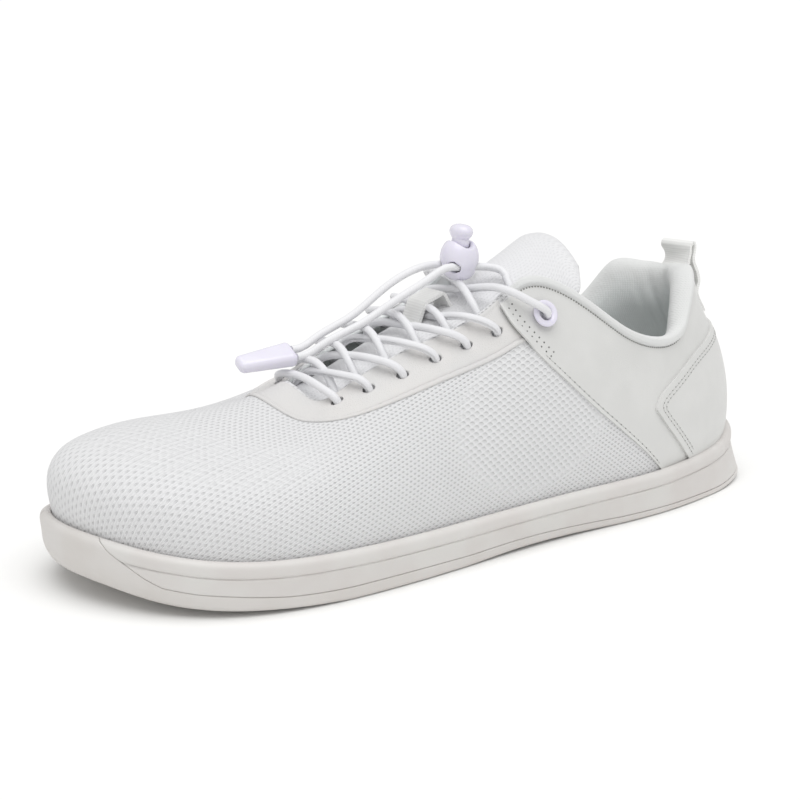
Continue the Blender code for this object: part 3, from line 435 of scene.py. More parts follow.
def knitFinish():
    # White knit: an open mesh of slanting holes, raised leaves where the zone says so, and fine yarn rows.
    # Painted shade darkens the holes, the furrows between yarn rows and the leaves' dips, each dip most at
    # one end
    made, tree, shader, where = startFinish("white_knit")
    along, across = flatPlace(tree)
    zone = addNode(tree, "Attribute", {"attribute_name": "leafZone"}, {}).outputs["Fac"]
    holeShadeScale = addNode(tree, "Attribute", {"attribute_name": "holeShadeScale"}, {}).outputs["Fac"]
    holeX, holeY = cellPlace(tree, along, across, 2.5, 1.8, 0.5)
    hole = ovalMask(tree, holeX, holeY, 0.15, 0.24, 0.19, 0.6)
    yarn = waves(tree, across, 0.9)
    leafX, leafY = cellPlace(tree, along, across, 3.1, 2.5, 0.36)
    dip = ovalMask(tree, leafX, leafY, 0.4, 0.48, 0.34, 0.4)
    dip = worked(tree, "MULTIPLY", dip, worked(tree, "MULTIPLY_ADD", leafX, 1.1, 0.6))
    # Painted shade in the holes, stronger along the sides than at the toe, and none among the leaves
    meshHoleShade = worked(tree, "MULTIPLY", hole, holeShadeScale)
    meshHoleShade = worked(tree, "MULTIPLY", meshHoleShade, worked(tree, "SUBTRACT", 1.0, zone))
    meshHeight = worked(tree, "MULTIPLY", hole, 0.7)
    meshHeight = worked(tree, "SUBTRACT", worked(tree, "MULTIPLY", yarn, 0.3), meshHeight)
    leafHeight = worked(tree, "MULTIPLY", dip, -1.15)
    height = addNode(tree, "Mix", {"data_type": "FLOAT"}, {0: zone, 2: meshHeight, 3: leafHeight}).outputs[0]
    base = worked(tree, "Mix", worked(tree, "Noise", where, perMm(9.0)), linear("#e4e4e5"), linear("#e9e9ea"))
    # Painted shade: the furrows between yarn rows and the leaves' dips, each dip darkest at one end, and the
    # holes darker still
    furrowShade = worked(tree, "MULTIPLY", worked(tree, "SUBTRACT", 1.0, yarn), 0.14)
    shade = worked(tree, "MULTIPLY_ADD", worked(tree, "MULTIPLY", dip, zone), 0.3, furrowShade)
    shade = worked(tree, "MULTIPLY_ADD", meshHoleShade, 0.34, shade)
    fuzz = worked(tree, "Bump", worked(tree, "Noise", where, perMm(0.35), 3.0), 0.08 * mm)
    normal = worked(tree, "Bump", height, 0.36 * mm, fuzz)
    base = worked(tree, "Mix", shade, base, linear("#9b9c9b"))
    setShader(tree, shader, Base_Color=base, Roughness=0.85, Normal=normal, Sheen_Weight=0.15)
    return made


def tongueFinish():
    # Softer knit of the tongue: fine ribs along it, with small pinholes between them, darkened by painted
    # shade
    made, tree, shader, where = startFinish("white_tongue_knit")
    along, across = flatPlace(tree)
    rib = waves(tree, across, 1.25)
    x, y = cellPlace(tree, along, across, 1.5, 1.25, 0.5)
    hole = ovalMask(tree, x, y, 0.0, 0.26, 0.2, 0.5)
    height = worked(tree, "SUBTRACT", rib, worked(tree, "MULTIPLY", hole, 0.8))
    base = worked(tree, "Mix", worked(tree, "Noise", where, perMm(8.0)), linear("#e4e4e6"), linear("#e9e9ea"))
    # Painted shade in the pinholes
    shade = worked(tree, "MULTIPLY", hole, 0.1)
    fuzz = worked(tree, "Bump", worked(tree, "Noise", where, perMm(0.4), 3.0), 0.06 * mm)
    normal = worked(tree, "Bump", height, 0.07 * mm, fuzz)
    base = worked(tree, "Mix", shade, base, linear("#909192"))
    setShader(tree, shader, Base_Color=base, Roughness=0.9, Normal=normal, Sheen_Weight=0.2)
    return made


def leatherFinish(name, pale, dark, grain, depth, rough, coat):
    # Smooth coated leather: very fine grain, faint mottling and a soft gloss
    made, tree, shader, where = startFinish(name)
    inputs = {"Vector": where, "Scale": perMm(grain)}
    cells = addNode(tree, "TexVoronoi", {"feature": "DISTANCE_TO_EDGE"}, inputs).outputs[0]
    mottle = worked(tree, "Ease", 0.3, 0.7, worked(tree, "Noise", where, perMm(14.0)))
    base = worked(tree, "Mix", mottle, linear(pale), linear(dark))
    roughness = worked(tree, "MULTIPLY_ADD", worked(tree, "Noise", where, perMm(3.0)), 0.12, rough - 0.06)
    swell = worked(tree, "Bump", worked(tree, "Noise", where, perMm(7.0)), 0.08 * mm)
    normal = worked(tree, "Bump", worked(tree, "Ease", 0.0, 0.35, cells), depth * mm, swell)
    setShader(tree, shader, Base_Color=base, Roughness=roughness, Normal=normal, Coat_Weight=coat,
              Coat_Roughness=0.35)
    return made


def liningFinish():
    # Brushed lining of the collar and inside: matt, with a fine close weave. Inside the shoe it is painted
    # paler, painted light that lifts its shade, and greyer over the roll's crest
    made, tree, shader, where = startFinish("white_lining")
    parts = addNode(tree, "SeparateXYZ", {}, {0: where}).outputs
    weave = worked(tree, "MULTIPLY", waves(tree, parts[2], 0.7 * mm), waves(tree, parts[0], 0.7 * mm))
    mottle = worked(tree, "Noise", where, perMm(7.0))
    # Painted light: the lining inside is paler than over the roll's crest, which keeps a greyer painted shade
    inside = worked(tree, "Mix", mottle, linear("#f0f4f3"), linear("#f4f7f6"))
    crestShade = addNode(tree, "Attribute", {"attribute_name": "crestShade"}, {}).outputs["Fac"]
    base = worked(tree, "Mix", crestShade, inside, linear("#dfe0df"))
    swell = worked(tree, "Bump", worked(tree, "Noise", where, perMm(4.0)), 0.2 * mm)
    normal = worked(tree, "Bump", weave, 0.05 * mm, swell)
    setShader(tree, shader, Base_Color=base, Roughness=0.8, Normal=normal, Sheen_Weight=0.25)
    return made


def rubberFinish(name, pale, dark):
    # Moulded white rubber: warm, matt to satin, with faint moulding ripples
    made, tree, shader, where = startFinish(name)
    mottle = worked(tree, "Ease", 0.3, 0.7, worked(tree, "Noise", where, perMm(18.0)))
    base = worked(tree, "Mix", mottle, linear(pale), linear(dark))
    roughness = worked(tree, "MULTIPLY_ADD", worked(tree, "Noise", where, perMm(2.5)), 0.16, 0.4)
    ripple = worked(tree, "Bump", worked(tree, "Noise", where, perMm(11.0)), 0.35 * mm)
    normal = worked(tree, "Bump", worked(tree, "Noise", where, perMm(0.5), 3.0), 0.03 * mm, ripple)
    setShader(tree, shader, Base_Color=base, Roughness=roughness, Normal=normal)
    return made


def webbingFinish():
    # Ribbed webbing: fine ribs across the band, lightly glossy threads, with painted shade in the valleys
    # between ribs
    made, tree, shader, where = startFinish("white_webbing")
    along, across = flatPlace(tree)
    rib = waves(tree, along, 0.95)
    thread = waves(tree, across, 0.45)
    height = worked(tree, "MULTIPLY_ADD", thread, 0.2, rib)
    # Painted shade in the valleys between ribs
    base = worked(tree, "Mix", rib, linear("#ebebe9"), linear("#f3f3f1"))
    normal = worked(tree, "Bump", height, 0.04 * mm)
    setShader(tree, shader, Base_Color=base, Roughness=0.6, Normal=normal, Sheen_Weight=0.15)
    return made


def elasticFinish():
    # Braided cover of the elastic lace: a tight slanting braid with a faint silky gloss, and painted shade in
    # the braid's grooves
    made, tree, shader, where = startFinish("white_elastic")
    along, across = flatPlace(tree)
    one = waves(tree, worked(tree, "ADD", along, across), 0.7)
    two = waves(tree, worked(tree, "SUBTRACT", along, across), 0.7)
    braid = worked(tree, "MAXIMUM", one, two)
    # Painted shade in the braid's grooves
    base = worked(tree, "Mix", braid, linear("#e3e3e7"), linear("#efeff1"))
    normal = worked(tree, "Bump", braid, 0.06 * mm)
    setShader(tree, shader, Base_Color=base, Roughness=0.5, Normal=normal, Sheen_Weight=0.1)
    return made


def plasticFinish():
    # Glossy moulded plastic with a lilac cast that lets a little light in
    made, tree, shader, where = startFinish("lilac_plastic")
    base = worked(tree, "Mix", worked(tree, "Noise", where, perMm(6.0)), linear("#e5e1ef"), linear("#eae8f3"))
    roughness = worked(tree, "MULTIPLY_ADD", worked(tree, "Noise", where, perMm(1.5)), 0.08, 0.2)
    setShader(tree, shader, Base_Color=base, Roughness=roughness, Subsurface_Weight=0.12,
              Subsurface_Radius=(0.002, 0.0018, 0.0024), Coat_Weight=0.15, Coat_Roughness=0.12,
              Normal=worked(tree, "Bump", worked(tree, "Noise", where, perMm(5.0)), 0.05 * mm))
    return made


def threadFinish():
    # Sewing thread: twisted plies, a shade darker than the leather, with painted shade in the grooves between
    # plies
    made, tree, shader, where = startFinish("white_thread")
    parts = addNode(tree, "SeparateXYZ", {}, {0: where}).outputs
    ply = waves(tree, worked(tree, "ADD", parts[0], parts[2]), 0.3 * mm)
    # Painted shade in the grooves between plies
    base = worked(tree, "Mix", ply, linear("#c6c6c4"), linear("#d7d7d5"))
    setShader(tree, shader, Base_Color=base, Roughness=0.6, Normal=worked(tree, "Bump", ply, 0.04 * mm))
    return made


def holeShadeFinish(name, pale, dark):
    # Needle and punch holes: painted shade, dark beads standing for the grey shade at the bottom of a pricked
    # hole
    made, tree, shader, where = startFinish(name)
    base = worked(tree, "Mix", worked(tree, "Noise", where, perMm(0.6)), linear(dark), linear(pale))
    setShader(tree, shader, Base_Color=base, Roughness=0.9)
    return made


def insoleFinish():
    # Footbed cloth: a plain close weave, greyed, with painted shade between the threads
    made, tree, shader, where = startFinish("insole_cloth")
    parts = addNode(tree, "SeparateXYZ", {}, {0: where}).outputs
    weave = worked(tree, "MULTIPLY", waves(tree, parts[0], 1.1 * mm), waves(tree, parts[1], 1.1 * mm))
    # Painted shade between the threads of the weave
    base = worked(tree, "Mix", weave, linear("#cccece"), linear("#d9dada"))
    setShader(tree, shader, Base_Color=base, Roughness=0.9, Normal=worked(tree, "Bump", weave, 0.12 * mm))
    return made


def elasticCordFinish():
    # The same braid on the loose ends, read from their own place because a line has no cloth places, with
    # painted shade in its grooves
    made, tree, shader, where = startFinish("white_elastic_end")
    parts = addNode(tree, "SeparateXYZ", {}, {0: where}).outputs
    braid = waves(tree, parts[0], 0.7 * mm)
    # Painted shade in the braid's grooves
    base = worked(tree, "Mix", braid, linear("#e9e9eb"), linear("#ededef"))
    normal = worked(tree, "Bump", braid, 0.012 * mm)
    setShader(tree, shader, Base_Color=base, Roughness=0.5, Normal=normal, Sheen_Weight=0.1)
    return made


whiteKnit, tongueKnit, lining = knitFinish(), tongueFinish(), liningFinish()
quarterLeather = leatherFinish("white_leather", "#d7d7d5", "#dbdbd9", 0.55, 0.02, 0.42, 0.12)
eyestayLeather = leatherFinish("warm_white_leather", "#d6d5d4", "#dad8d6", 0.8, 0.045, 0.58, 0.03)
cupRubber = rubberFinish("white_rubber", "#d5d1ce", "#d9d7d4")
outsoleRubber = rubberFinish("outsole_rubber", "#d4d0cc", "#d8d5d2")
webbing, elastic, elasticCord = webbingFinish(), elasticFinish(), elasticCordFinish()
plastic, thread, insoleCloth = plasticFinish(), threadFinish(), insoleFinish()
# Dark beads of painted shade for the needle holes, edge stitch holes and punched holes
needleHoleShade = holeShadeFinish("needle_hole", "#8f8f8b", "#797a77")
punchHoleShade = holeShadeFinish("punched_hole", "#686865", "#52534f")
print("finishes made")


def clothPlaces(thing, places, count):
    # Writes millimetres along and across the cloth for each corner of the first faces
    layer = thing.data.uv_layers.new(name="cloth")
    flat = np.zeros(2 * len(thing.data.loops), np.float32)
    flat[:2 * count] = np.asarray(places, np.float32).ravel()[:2 * count]
    layer.data.foreach_set("uv", flat)


def pointCloth(thing, along, across):
    # The same, where each point of the piece has one place on the cloth
    corners = np.zeros(len(thing.data.loops), np.int32)
    thing.data.loops.foreach_get("vertex_index", corners)
    clothPlaces(thing, np.stack([np.ravel(along), np.ravel(across)], 1)[corners], len(corners))


def tube(name, path, radius, sides, finish):
    # A round strand along a path, closed at both ends
    path = np.asarray(path, float)
    along = unit(np.gradient(path, axis=0))
    side = np.empty_like(path)
    side[0] = unit(np.cross(along[0], (0.31, 0.27, 0.91)))
    for i in range(1, len(path)):
        kept = side[i - 1] - along[i] * np.dot(side[i - 1], along[i])
        side[i] = kept / np.linalg.norm(kept)
    above = np.cross(along, side)
    turns = np.arange(sides) * 2 * math.pi / sides
    spokes = np.cos(turns)[None, :, None] * side[:, None] + np.sin(turns)[None, :, None] * above[:, None]
    rings = path[:, None] + radius * spokes
    made = addPiece(name, rings, tubeFaces(len(path), sides), finish)
    far = np.broadcast_to(walked(path)[:, None], rings.shape[:2])
    pointCloth(made, far, np.broadcast_to(turns * radius, rings.shape[:2]))
    return made


# Lace ends, from behind the collar through the lock to the clamp
# Each tail row: station, side, height of the outer end, height of the inner end
laceEnds = {
    "collar": ((116.5, 14.6, 87.4), (115.6, 10.6, 90.6)),
    "lock": (-7.6, -3.0, 3.0, 7.6), "lockHole": (3.5, 5.4),
    "tail": ((143, 1.2, 90.4, 93), (156, -0.6, 83.8, 87.6), (170, -2.6, 76.4, 78.4), (184, -4.8, 70.6, 72)),
    "clamp": (4.0, 0.4), "apart": 2.0, "space": 3.0,
}
lockSeat, lockTilt = (128.4, 1.0, 87.2), math.radians(5)
clampBack, clampTip = np.array((193.0, -6.0, 68.4)), np.array((214.0, -8.0, 66.8))
laceRadius = 1.38
clampAlong = unit(clampTip - clampBack)
clampLevel = unit(np.cross((0.0, 0.0, 1.0), clampAlong))
clampRoll = math.radians(28)
clampSide = clampLevel * math.cos(clampRoll) - np.cross(clampAlong, clampLevel) * math.sin(clampRoll)
clampUp = np.cross(clampAlong, clampSide)


def lockToShoe(x, y, z):
    cosine, sine = math.cos(lockTilt), math.sin(lockTilt)
    station = lockSeat[0] + x * cosine - z * sine
    height = lockSeat[2] + x * sine + z * cosine
    return np.stack([station, lockSeat[1] + y, height], -1)


def laceEndRoute(way):
    # Points from the collar to the clamp, on the outer side for a way of 1 and the inner for -1
    holeSide, holeHeight = laceEnds["lockHole"]
    route = []
    for station, side, height in laceEnds["collar"]:
        route.append(np.array((station, centre + way * (side - centre), height)))
    route += [lockToShoe(reach, way * holeSide, holeHeight) for reach in laceEnds["lock"]]
    spread = np.linspace(holeSide, laceEnds["apart"], len(laceEnds["tail"]) + 2)[1:-1]
    for (station, side, outerHeight, innerHeight), apart in zip(laceEnds["tail"], spread):
        route.append(np.array((station, side + way * apart, outerHeight if way > 0 else innerHeight)))
    aside = clampSide * way * laceEnds["apart"]
    return route + [clampBack - clampAlong * reach + aside for reach in laceEnds["clamp"]]


def laceEnd(name, way):
    line = bpy.data.curves.new(name, "CURVE")
    line.dimensions = "3D"
    line.bevel_depth = laceRadius * mm
    line.bevel_resolution = 5
    line.use_fill_caps = True
    points = placed(evenPath(laceEndRoute(way), laceEnds["space"]))
    strand = line.splines.new("POLY")
    strand.points.add(len(points) - 1)
    for spot, point in zip(strand.points, points):
        spot.co = (*point, 1)
    strand.use_smooth = True
    line.materials.append(elasticCord)
    made = bpy.data.objects.new(name, line)
    bpy.context.scene.collection.objects.link(made)
    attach(made, "shoe")
    return made, points


outerEnd, outerPoints = laceEnd("lace_end_outer_cord", 1)
innerEnd, innerPoints = laceEnd("lace_end_inner_cord", -1)
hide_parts("lace_end_outer")
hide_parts("lace_end_inner")
print("lace ends laid")


def crowded(even, most):
    # Even shares drawn together at whole numbers where most is below 0, halfway between them above 0
    return even + most * np.sin(2 * math.pi * even) / (2 * math.pi)


placeCount = 320
places = crowded(np.arange(placeCount) * 2.0 / placeCount, -0.36)
nearPlaces = np.minimum(places, 2 - places)


# Sole
sole = {
    "edge": ((0.0, 60), (0.055, 24), (0.065, 22.6), (0.075, 20.1), (0.0975, 15.9), (0.1125, 13), (0.13, 10.4),
             (0.1625, 8.8), (0.195, 7.8), (0.25, 5.7)),
    "rim": ((0.0, 5.7), (0.05, 5.5), (0.5, 5.3), (0.5, 5.1), (0.06, 4.85), (-0.16, 4.4), (-0.28, 3.6),
            (-0.32, 2.7), (-0.22, 1.7), (0.1, 0.95), (0.7, 0.4), (1.3, 0.1), (1.9, 0), (2.6, 0.05),
            (3.2, 0.3), (3.5, 0.75)),
    "grooveRows": 4, "innerRows": 4, "bumper": (0.07, 0.1), "toe": (0.3, 0.05), "belly": 1.5, "hollow": 0.22,
    "underside": 9, "outsoleTop": (3.2, 2.2), "cupBottom": (3.6, 2.5), "floorInset": 3.5, "steps": (20, 34),
    "lip": ((0.5, 0.0), (0.26, 0.05), (0.12, 0.2), (0.06, 0.5), (0.06, 1.4)),
}


def roundWall(height, toe):
    # The wall's inset, bellied out at the toe
    flare, ground, rim, layer = soleSizes(places)
    share = np.clip((height - ground) / (rim - rimDrop - ground), 0, 1)
    return wallInset(places, height) - sole["belly"] * toe * np.sin(math.pi * share) * (1 - 0.3 * share)


def soleProfile():
    # Inset and height of the side from the underside's edge up and over the rim
    flare, ground, rim, layer = soleSizes(places)
    low = np.minimum(layer, 3.0)
    rows = []
    toe = smoothStep(*sole["toe"], nearPlaces)
    foot = 0.45 * low * (1 + 0.9 * toe)
    for turn in np.linspace(0, math.pi / 2, 7):
        height = ground + foot * (1 - math.cos(turn))
        rows.append(((1.6 + 1.2 * toe) * (1 - math.sin(turn)) + roundWall(height, toe), height))
    wallTop = rim - sole["rim"][0][1]
    for share in np.linspace(0, 1, 13)[1:-1]:
        height = ground + foot + (wallTop - ground - foot) * share
        hollow = sole["hollow"] * math.sin(math.pi * share) * (1 - toe)
        rows.append((roundWall(height, toe) + hollow, height))
    groove = 0.12 + 0.88 * smoothStep(*sole["bumper"], nearPlaces)
    for k, (inset, drop) in enumerate(sole["rim"]):
        depth = groove if k <= sole["grooveRows"] else 1.0
        rows.append((np.broadcast_to(inset * depth, places.shape), rim - drop))
    return np.moveaxis(np.array(rows), 2, 0)


def soleEdgeWalk(profile, length):
    # How far up each side the outsole's edge lies
    flare, ground, rim, layer = soleSizes(places)
    table = sole["edge"]
    height = np.interp(nearPlaces, [row[0] for row in table], [row[1] for row in table])
    height = np.where(nearPlaces > table[-1][0], ground + layer, height)
    height = np.minimum(np.where(nearPlaces > 0.2, np.maximum(height, ground + layer), height), rim - 0.03)
    top = profile.shape[1] - sole["innerRows"]
    walk = [np.interp(level, np.maximum.accumulate(side[:top + 1, 1]), far[:top + 1])
            for level, side, far in zip(height, profile, length)]
    return np.array(walk) + 1.3 * smoothStep(0.066, 0.048, nearPlaces)


def profileAt(profile, length, walk):
    # Inset and height at walks along each side
    rows = [np.stack([np.interp(at, far, side[:, k]) for k in range(2)], -1)
            for at, far, side in zip(walk, length, profile)]
    return np.stack(rows)


def sampledProfile(profile, length, walk):
    # The same, with the way into the rubber there
    ahead, behind = [profileAt(profile, length, walk + step) for step in (0.06, -0.06)]
    way = unit(ahead - behind)
    inward = np.stack([way[..., 1], -way[..., 0]], -1)
    return profileAt(profile, length, walk), inward


def soleRings(points):
    # Rings round the shoe from inset and height at each place
    return [ring(places, points[:, k, 0], points[:, k, 1]) for k in range(points.shape[1])]


def ringPiece(name, rings, finish):
    faces = gridFaces(len(rings), placeCount, closeColumns=True)
    faces += rungFaces(0, placeCount) + rungFaces((len(rings) - 1) * placeCount, placeCount)
    return addPiece(name, np.concatenate(rings), faces, finish, sharp=42)


def buildSole():
    flare, ground, rim, layer = soleSizes(places)
    profile = soleProfile()
    length = np.array([walked(side) for side in profile])
    edge = soleEdgeWalk(profile, length)
    backs, deeps = np.array(sole["lip"]).T
    lowerSteps, upperSteps = sole["steps"]
    walk = (edge - backs[0])[:, None] * np.linspace(0, 1, lowerSteps)
    walk = np.concatenate([walk, edge[:, None] - backs[1:]], 1)
    lower, inward = sampledProfile(profile, length, walk)
    lower = lower + inward * np.append(np.zeros(lowerSteps), deeps[1:])[:, None]
    underside = np.stack([wallInset(places, ground) + sole["underside"], ground], -1)[:, None]
    inset, height = sole["outsoleTop"]
    inside = np.stack([wallInset(places, ground + layer) + inset, ground + height], -1)[:, None]
    rings = soleRings(np.concatenate([underside, lower, inside], 1))
    outsole = ringPiece("outsole_rubber", rings, outsoleRubber)
    start = edge + backs[0]
    walk = start[:, None] + (length[:, -1] - start)[:, None] * np.linspace(0, 1, upperSteps)
    walk = np.concatenate([edge[:, None] + backs[:0:-1], walk], 1)
    upperSide, inward = sampledProfile(profile, length, walk)
    upperSide = upperSide + inward * np.append(deeps[:0:-1], np.zeros(upperSteps))[:, None]
    inset, height = sole["cupBottom"]
    bottom = np.stack([wallInset(places, ground + layer) + inset, ground + height], -1)[:, None]
    floor = np.stack([np.full(placeCount, sole["floorInset"]), cupFloor(places)], -1)[:, None]
    cup = ringPiece("midsole_cup", soleRings(np.concatenate([bottom, upperSide, floor], 1)), cupRubber)
    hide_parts("outsole")
    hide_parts("midsole")
    return outsole


tread = {
    "stations": (30, 52, 74, 150, 172, 194, 216, 238), "wide": 2.6, "deep": 1.0, "reach": 0.72,
    "way": (0.12, 1.0, 0.0),
}


def cutTread(outsole):
    # Shallow grooves across the underside
    points, faces = [], []
    for station in tread["stations"]:
        rows = np.linspace(0, 1, 400)
        outer, inner = outline(rows, 0.0), outline(2 - rows, 0.0)
        sides = [np.interp(-station, -line[:, 0], line[:, 1]) for line in (outer, inner)]
        way = unit(np.array(tread["way"]))
        ahead = np.array((way[1], -way[0], 0.0))
        heart = np.array((station, (sides[0] + sides[1]) / 2, 0.0))
        reach = tread["reach"] * (sides[0] - sides[1]) / 2
        first = 8 * len(faces) // 6
        for up in (-tread["deep"], tread["deep"]):
            for a, b in ((-1, -1), (-1, 1), (1, 1), (1, -1)):
                points.append(heart + way * reach * a + ahead * tread["wide"] / 2 * b + np.array((0, 0, up)))
        faces += [[first + i for i in face] for face in
                  ((0, 1, 2, 3), (4, 5, 6, 7), (0, 1, 5, 4), (1, 2, 6, 5), (2, 3, 7, 6), (3, 0, 4, 7))]
    cutter = addPiece("tread_cutter", points, faces, body=None)
    cutAway(outsole, cutter)
    dropCutter(cutter)


outsole = buildSole()
cutTread(outsole)
print("sole built")


# Upper
upper = {
    "wall": 2.0, "toe": (3.0, -0.1, 0.24), "rises": 56, "innerRises": 22,
    "leafFront": {"share": (0.33, 0.24), "rise": (0.36, 0.44), "riseEnd": (0.75, 0.66), "depth": 0.55},
    "leafSide": {"middle": (0.575, 0.42), "half": (0.1, 0.36), "soft": (1.12, 0.88)},
    "slots": ((0.309, 0.94), (0.374, 0.893), (0.425, 0.873), (0.471, 0.885), (0.514, 0.89), (0.556, 0.87)),
    "slotSize": (4.8, 3.1, 10.0), "holeShadeRange": (0.66, 1.3),
    "eyelet": (0.618, 0.823), "eyeletHole": (6.8, 6.8, 14.0),
}


def leafZone(place, rise):
    # Where the knit is raised in leaves: a band over the toes and a patch on each side
    near = np.minimum(place % 2, 2 - place % 2)
    front = upper["leafFront"]
    band = smoothStep(*front["share"], near) * smoothStep(*front["rise"], rise)
    band = band * smoothStep(*front["riseEnd"], rise)
    side = upper["leafSide"]
    far = np.hypot((near - side["middle"][0]) / side["half"][0], (rise - side["middle"][1]) / side["half"][1])
    return np.maximum(band * front["depth"], smoothStep(*side["soft"], far))


def laidFlat(points):
    # Lays the outer face out flat, slit at the heel, as the knit was before it was sewn up
    rows, columns = points.shape[:2]
    mesh = bpy.data.meshes.new("pattern")
    mesh.from_pydata(points.reshape(-1, 3).tolist(), [], gridFaces(rows, columns))
    pattern = bpy.data.objects.new("pattern", mesh)
    bpy.context.scene.collection.objects.link(pattern)
    mesh.uv_layers.new(name="cloth")
    onlyActive(pattern)
    bpy.ops.object.mode_set(mode="EDIT")
    bpy.ops.mesh.select_all(action="SELECT")
    bpy.ops.uv.unwrap(method="ANGLE_BASED", margin=0.0)
    bpy.ops.object.mode_set(mode="OBJECT")
    corners = np.zeros(len(mesh.loops), np.int32)
    mesh.loops.foreach_get("vertex_index", corners)
    flat = np.zeros(2 * len(mesh.loops), np.float32)
    mesh.uv_layers["cloth"].data.foreach_get("uv", flat)
    spots = np.zeros((rows * columns, 2))
    spots[corners] = flat.reshape(-1, 2)
    bpy.data.objects.remove(pattern, do_unlink=True)
    spots = spots.reshape(rows, columns, 2)
    front = columns // 2
    size = walked(points[:, front])[-1] / walked(spots[:, front])[-1]
    way = spots[-1, front] - spots[0, front]
    turn = math.atan2(way[1], way[0])
    spin = np.array([[math.cos(turn), -math.sin(turn)], [math.sin(turn), math.cos(turn)]])
    return (spots - spots[0, front]) @ spin * size


def prismCutter(name, ovals, sides):
    # Oval plugs through the wall: each is a place, a rise and its length, width and depth
    points, faces = [], []
    turns = np.arange(sides) * 2 * math.pi / sides
    for place, rise, (long, wide, depth) in ovals:
        axis = upperNormal(place, rise)
        along = upperWays(place, rise)[0]
        along = unit(along - axis * np.dot(along, axis))
        across = np.cross(axis, along)
        oval = upperPoint(place, rise) + np.outer(np.cos(turns) * long / 2, along)
        oval = oval + np.outer(np.sin(turns) * wide / 2, across)
        first = 2 * sides * len(points)
        points.append(np.concatenate([oval - axis * depth / 2, oval + axis * depth / 2]))
        faces += tubeFaces(2, sides, first)
    made = addPiece(name, np.concatenate(points), faces, body=None)
    made.hide_render = True
    return made


def holeSet(rows, size):
    return [(share if outer else 2 - share, rise, size) for share, rise in rows for outer in (True, False)]


def buildUpper():
    outerRises = np.linspace(0, 1, upper["rises"])
    turned = np.where(places > 1, places - 2, places)
    swell = upper["toe"][0] * np.exp(-((turned - upper["toe"][1]) / upper["toe"][2]) ** 2)
    swells = smoothStep(0, 0.35, outerRises) * smoothStep(0.9, 0.5, outerRises)
    outer = [upperLift(places, rise, swell * share) for rise, share in zip(outerRises, swells)]
    up = unit(outer[-1] - outer[-2])
    normal = upperNormal(places, 1.0)
    wall = upper["wall"]
    crown = [outer[-1] - normal * wall / 2 * (1 - math.cos(turn)) + up * wall * 0.4 * math.sin(turn)
             for turn in np.linspace(0, math.pi, 7)[1:-1]]
    inner = [upperLift(places, rise, -wall) for rise in np.linspace(1, 0, upper["innerRises"])]
    floor = cupFloor(places) + cupInside["gap"]
    rings = [ring(places, upperInset, floor)] + outer + crown + inner
    rings.append(ring(places, upperInset + wall, floor))
    faces = gridFaces(len(rings), placeCount, True, True)
    made = addPiece("upper_knit", np.concatenate(rings), faces, whiteKnit, lining)
    half = placeCount // 2
    ahead = np.roll(np.arange(placeCount), half)
    wrapped = np.append(ahead, ahead[0])
    flat = laidFlat(np.stack([rows[wrapped] for rows in rings[:upper["rises"] + 5]]))
    cornersOf = np.zeros(len(made.data.loops), np.int32)
    made.data.loops.foreach_get("vertex_index", cornersOf)
    cloth = np.zeros((len(cornersOf), 2))
    slots = np.zeros(len(made.data.polygons), np.int32)
    for k, face in enumerate(made.data.polygons):
        loops = list(face.loop_indices)
        spots = cornersOf[loops]
        rows, columns = spots // placeCount, (spots % placeCount + half) % placeCount
        if columns.max() - columns.min() > half:
            columns = np.where(columns == 0, placeCount, columns)
        if rows.max() < len(flat) and rows.max() - rows.min() <= 1:
            cloth[loops] = flat[rows, columns]
        slots[k] = 0 if rows.max() <= upper["rises"] + 2 and rows.max() - rows.min() <= 1 else 1
    clothPlaces(made, cloth, len(cornersOf))
    made.data.polygons.foreach_set("material_index", slots)
    zone = np.zeros((len(rings), placeCount))
    zone[1:upper["rises"] + 1] = leafZone(places[None, :], outerRises[:, None])
    pointNumbers(made, "leafZone", zone)
    # How strong the painted shade in the knit's holes is: paler at the toe, darker along the sides
    toe, side = upper["holeShadeRange"]
    holeShadeScale = toe + (side - toe) * smoothStep(0.2, 0.42, nearPlaces)
    pointNumbers(made, "holeShadeScale", np.broadcast_to(holeShadeScale, zone.shape))
    return made


slotCutter = prismCutter("slot_cutter", holeSet(upper["slots"], upper["slotSize"]), 20)
eyeletCutter = prismCutter("eyelet_cutter", holeSet([upper["eyelet"]], upper["eyeletHole"]), 28)
upperShell = buildUpper()
cutAway(upperShell, slotCutter)
cutAway(upperShell, eyeletCutter)
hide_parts("upper")
print("upper built")


def overlayPiece(name, place, rise, lift, thick, soft, finish):
    # A patch on the upper with its outer face at a lift, thickened inwards, with rounded borders
    rows, columns = place.shape
    made = addPiece(name, upperLift(place, rise, lift), gridFaces(rows, columns), finish, closed=False)
    addModifier(made, "SOLIDIFY", thickness=thick * mm, offset=1.0)
    addModifier(made, "BEVEL", width=soft * mm, segments=3, limit_method="ANGLE",
                angle_limit=math.radians(55))
    applyAll(made)
    made.data.shade_smooth()
    made.data.set_sharp_from_angle(angle=math.radians(60))
    return made


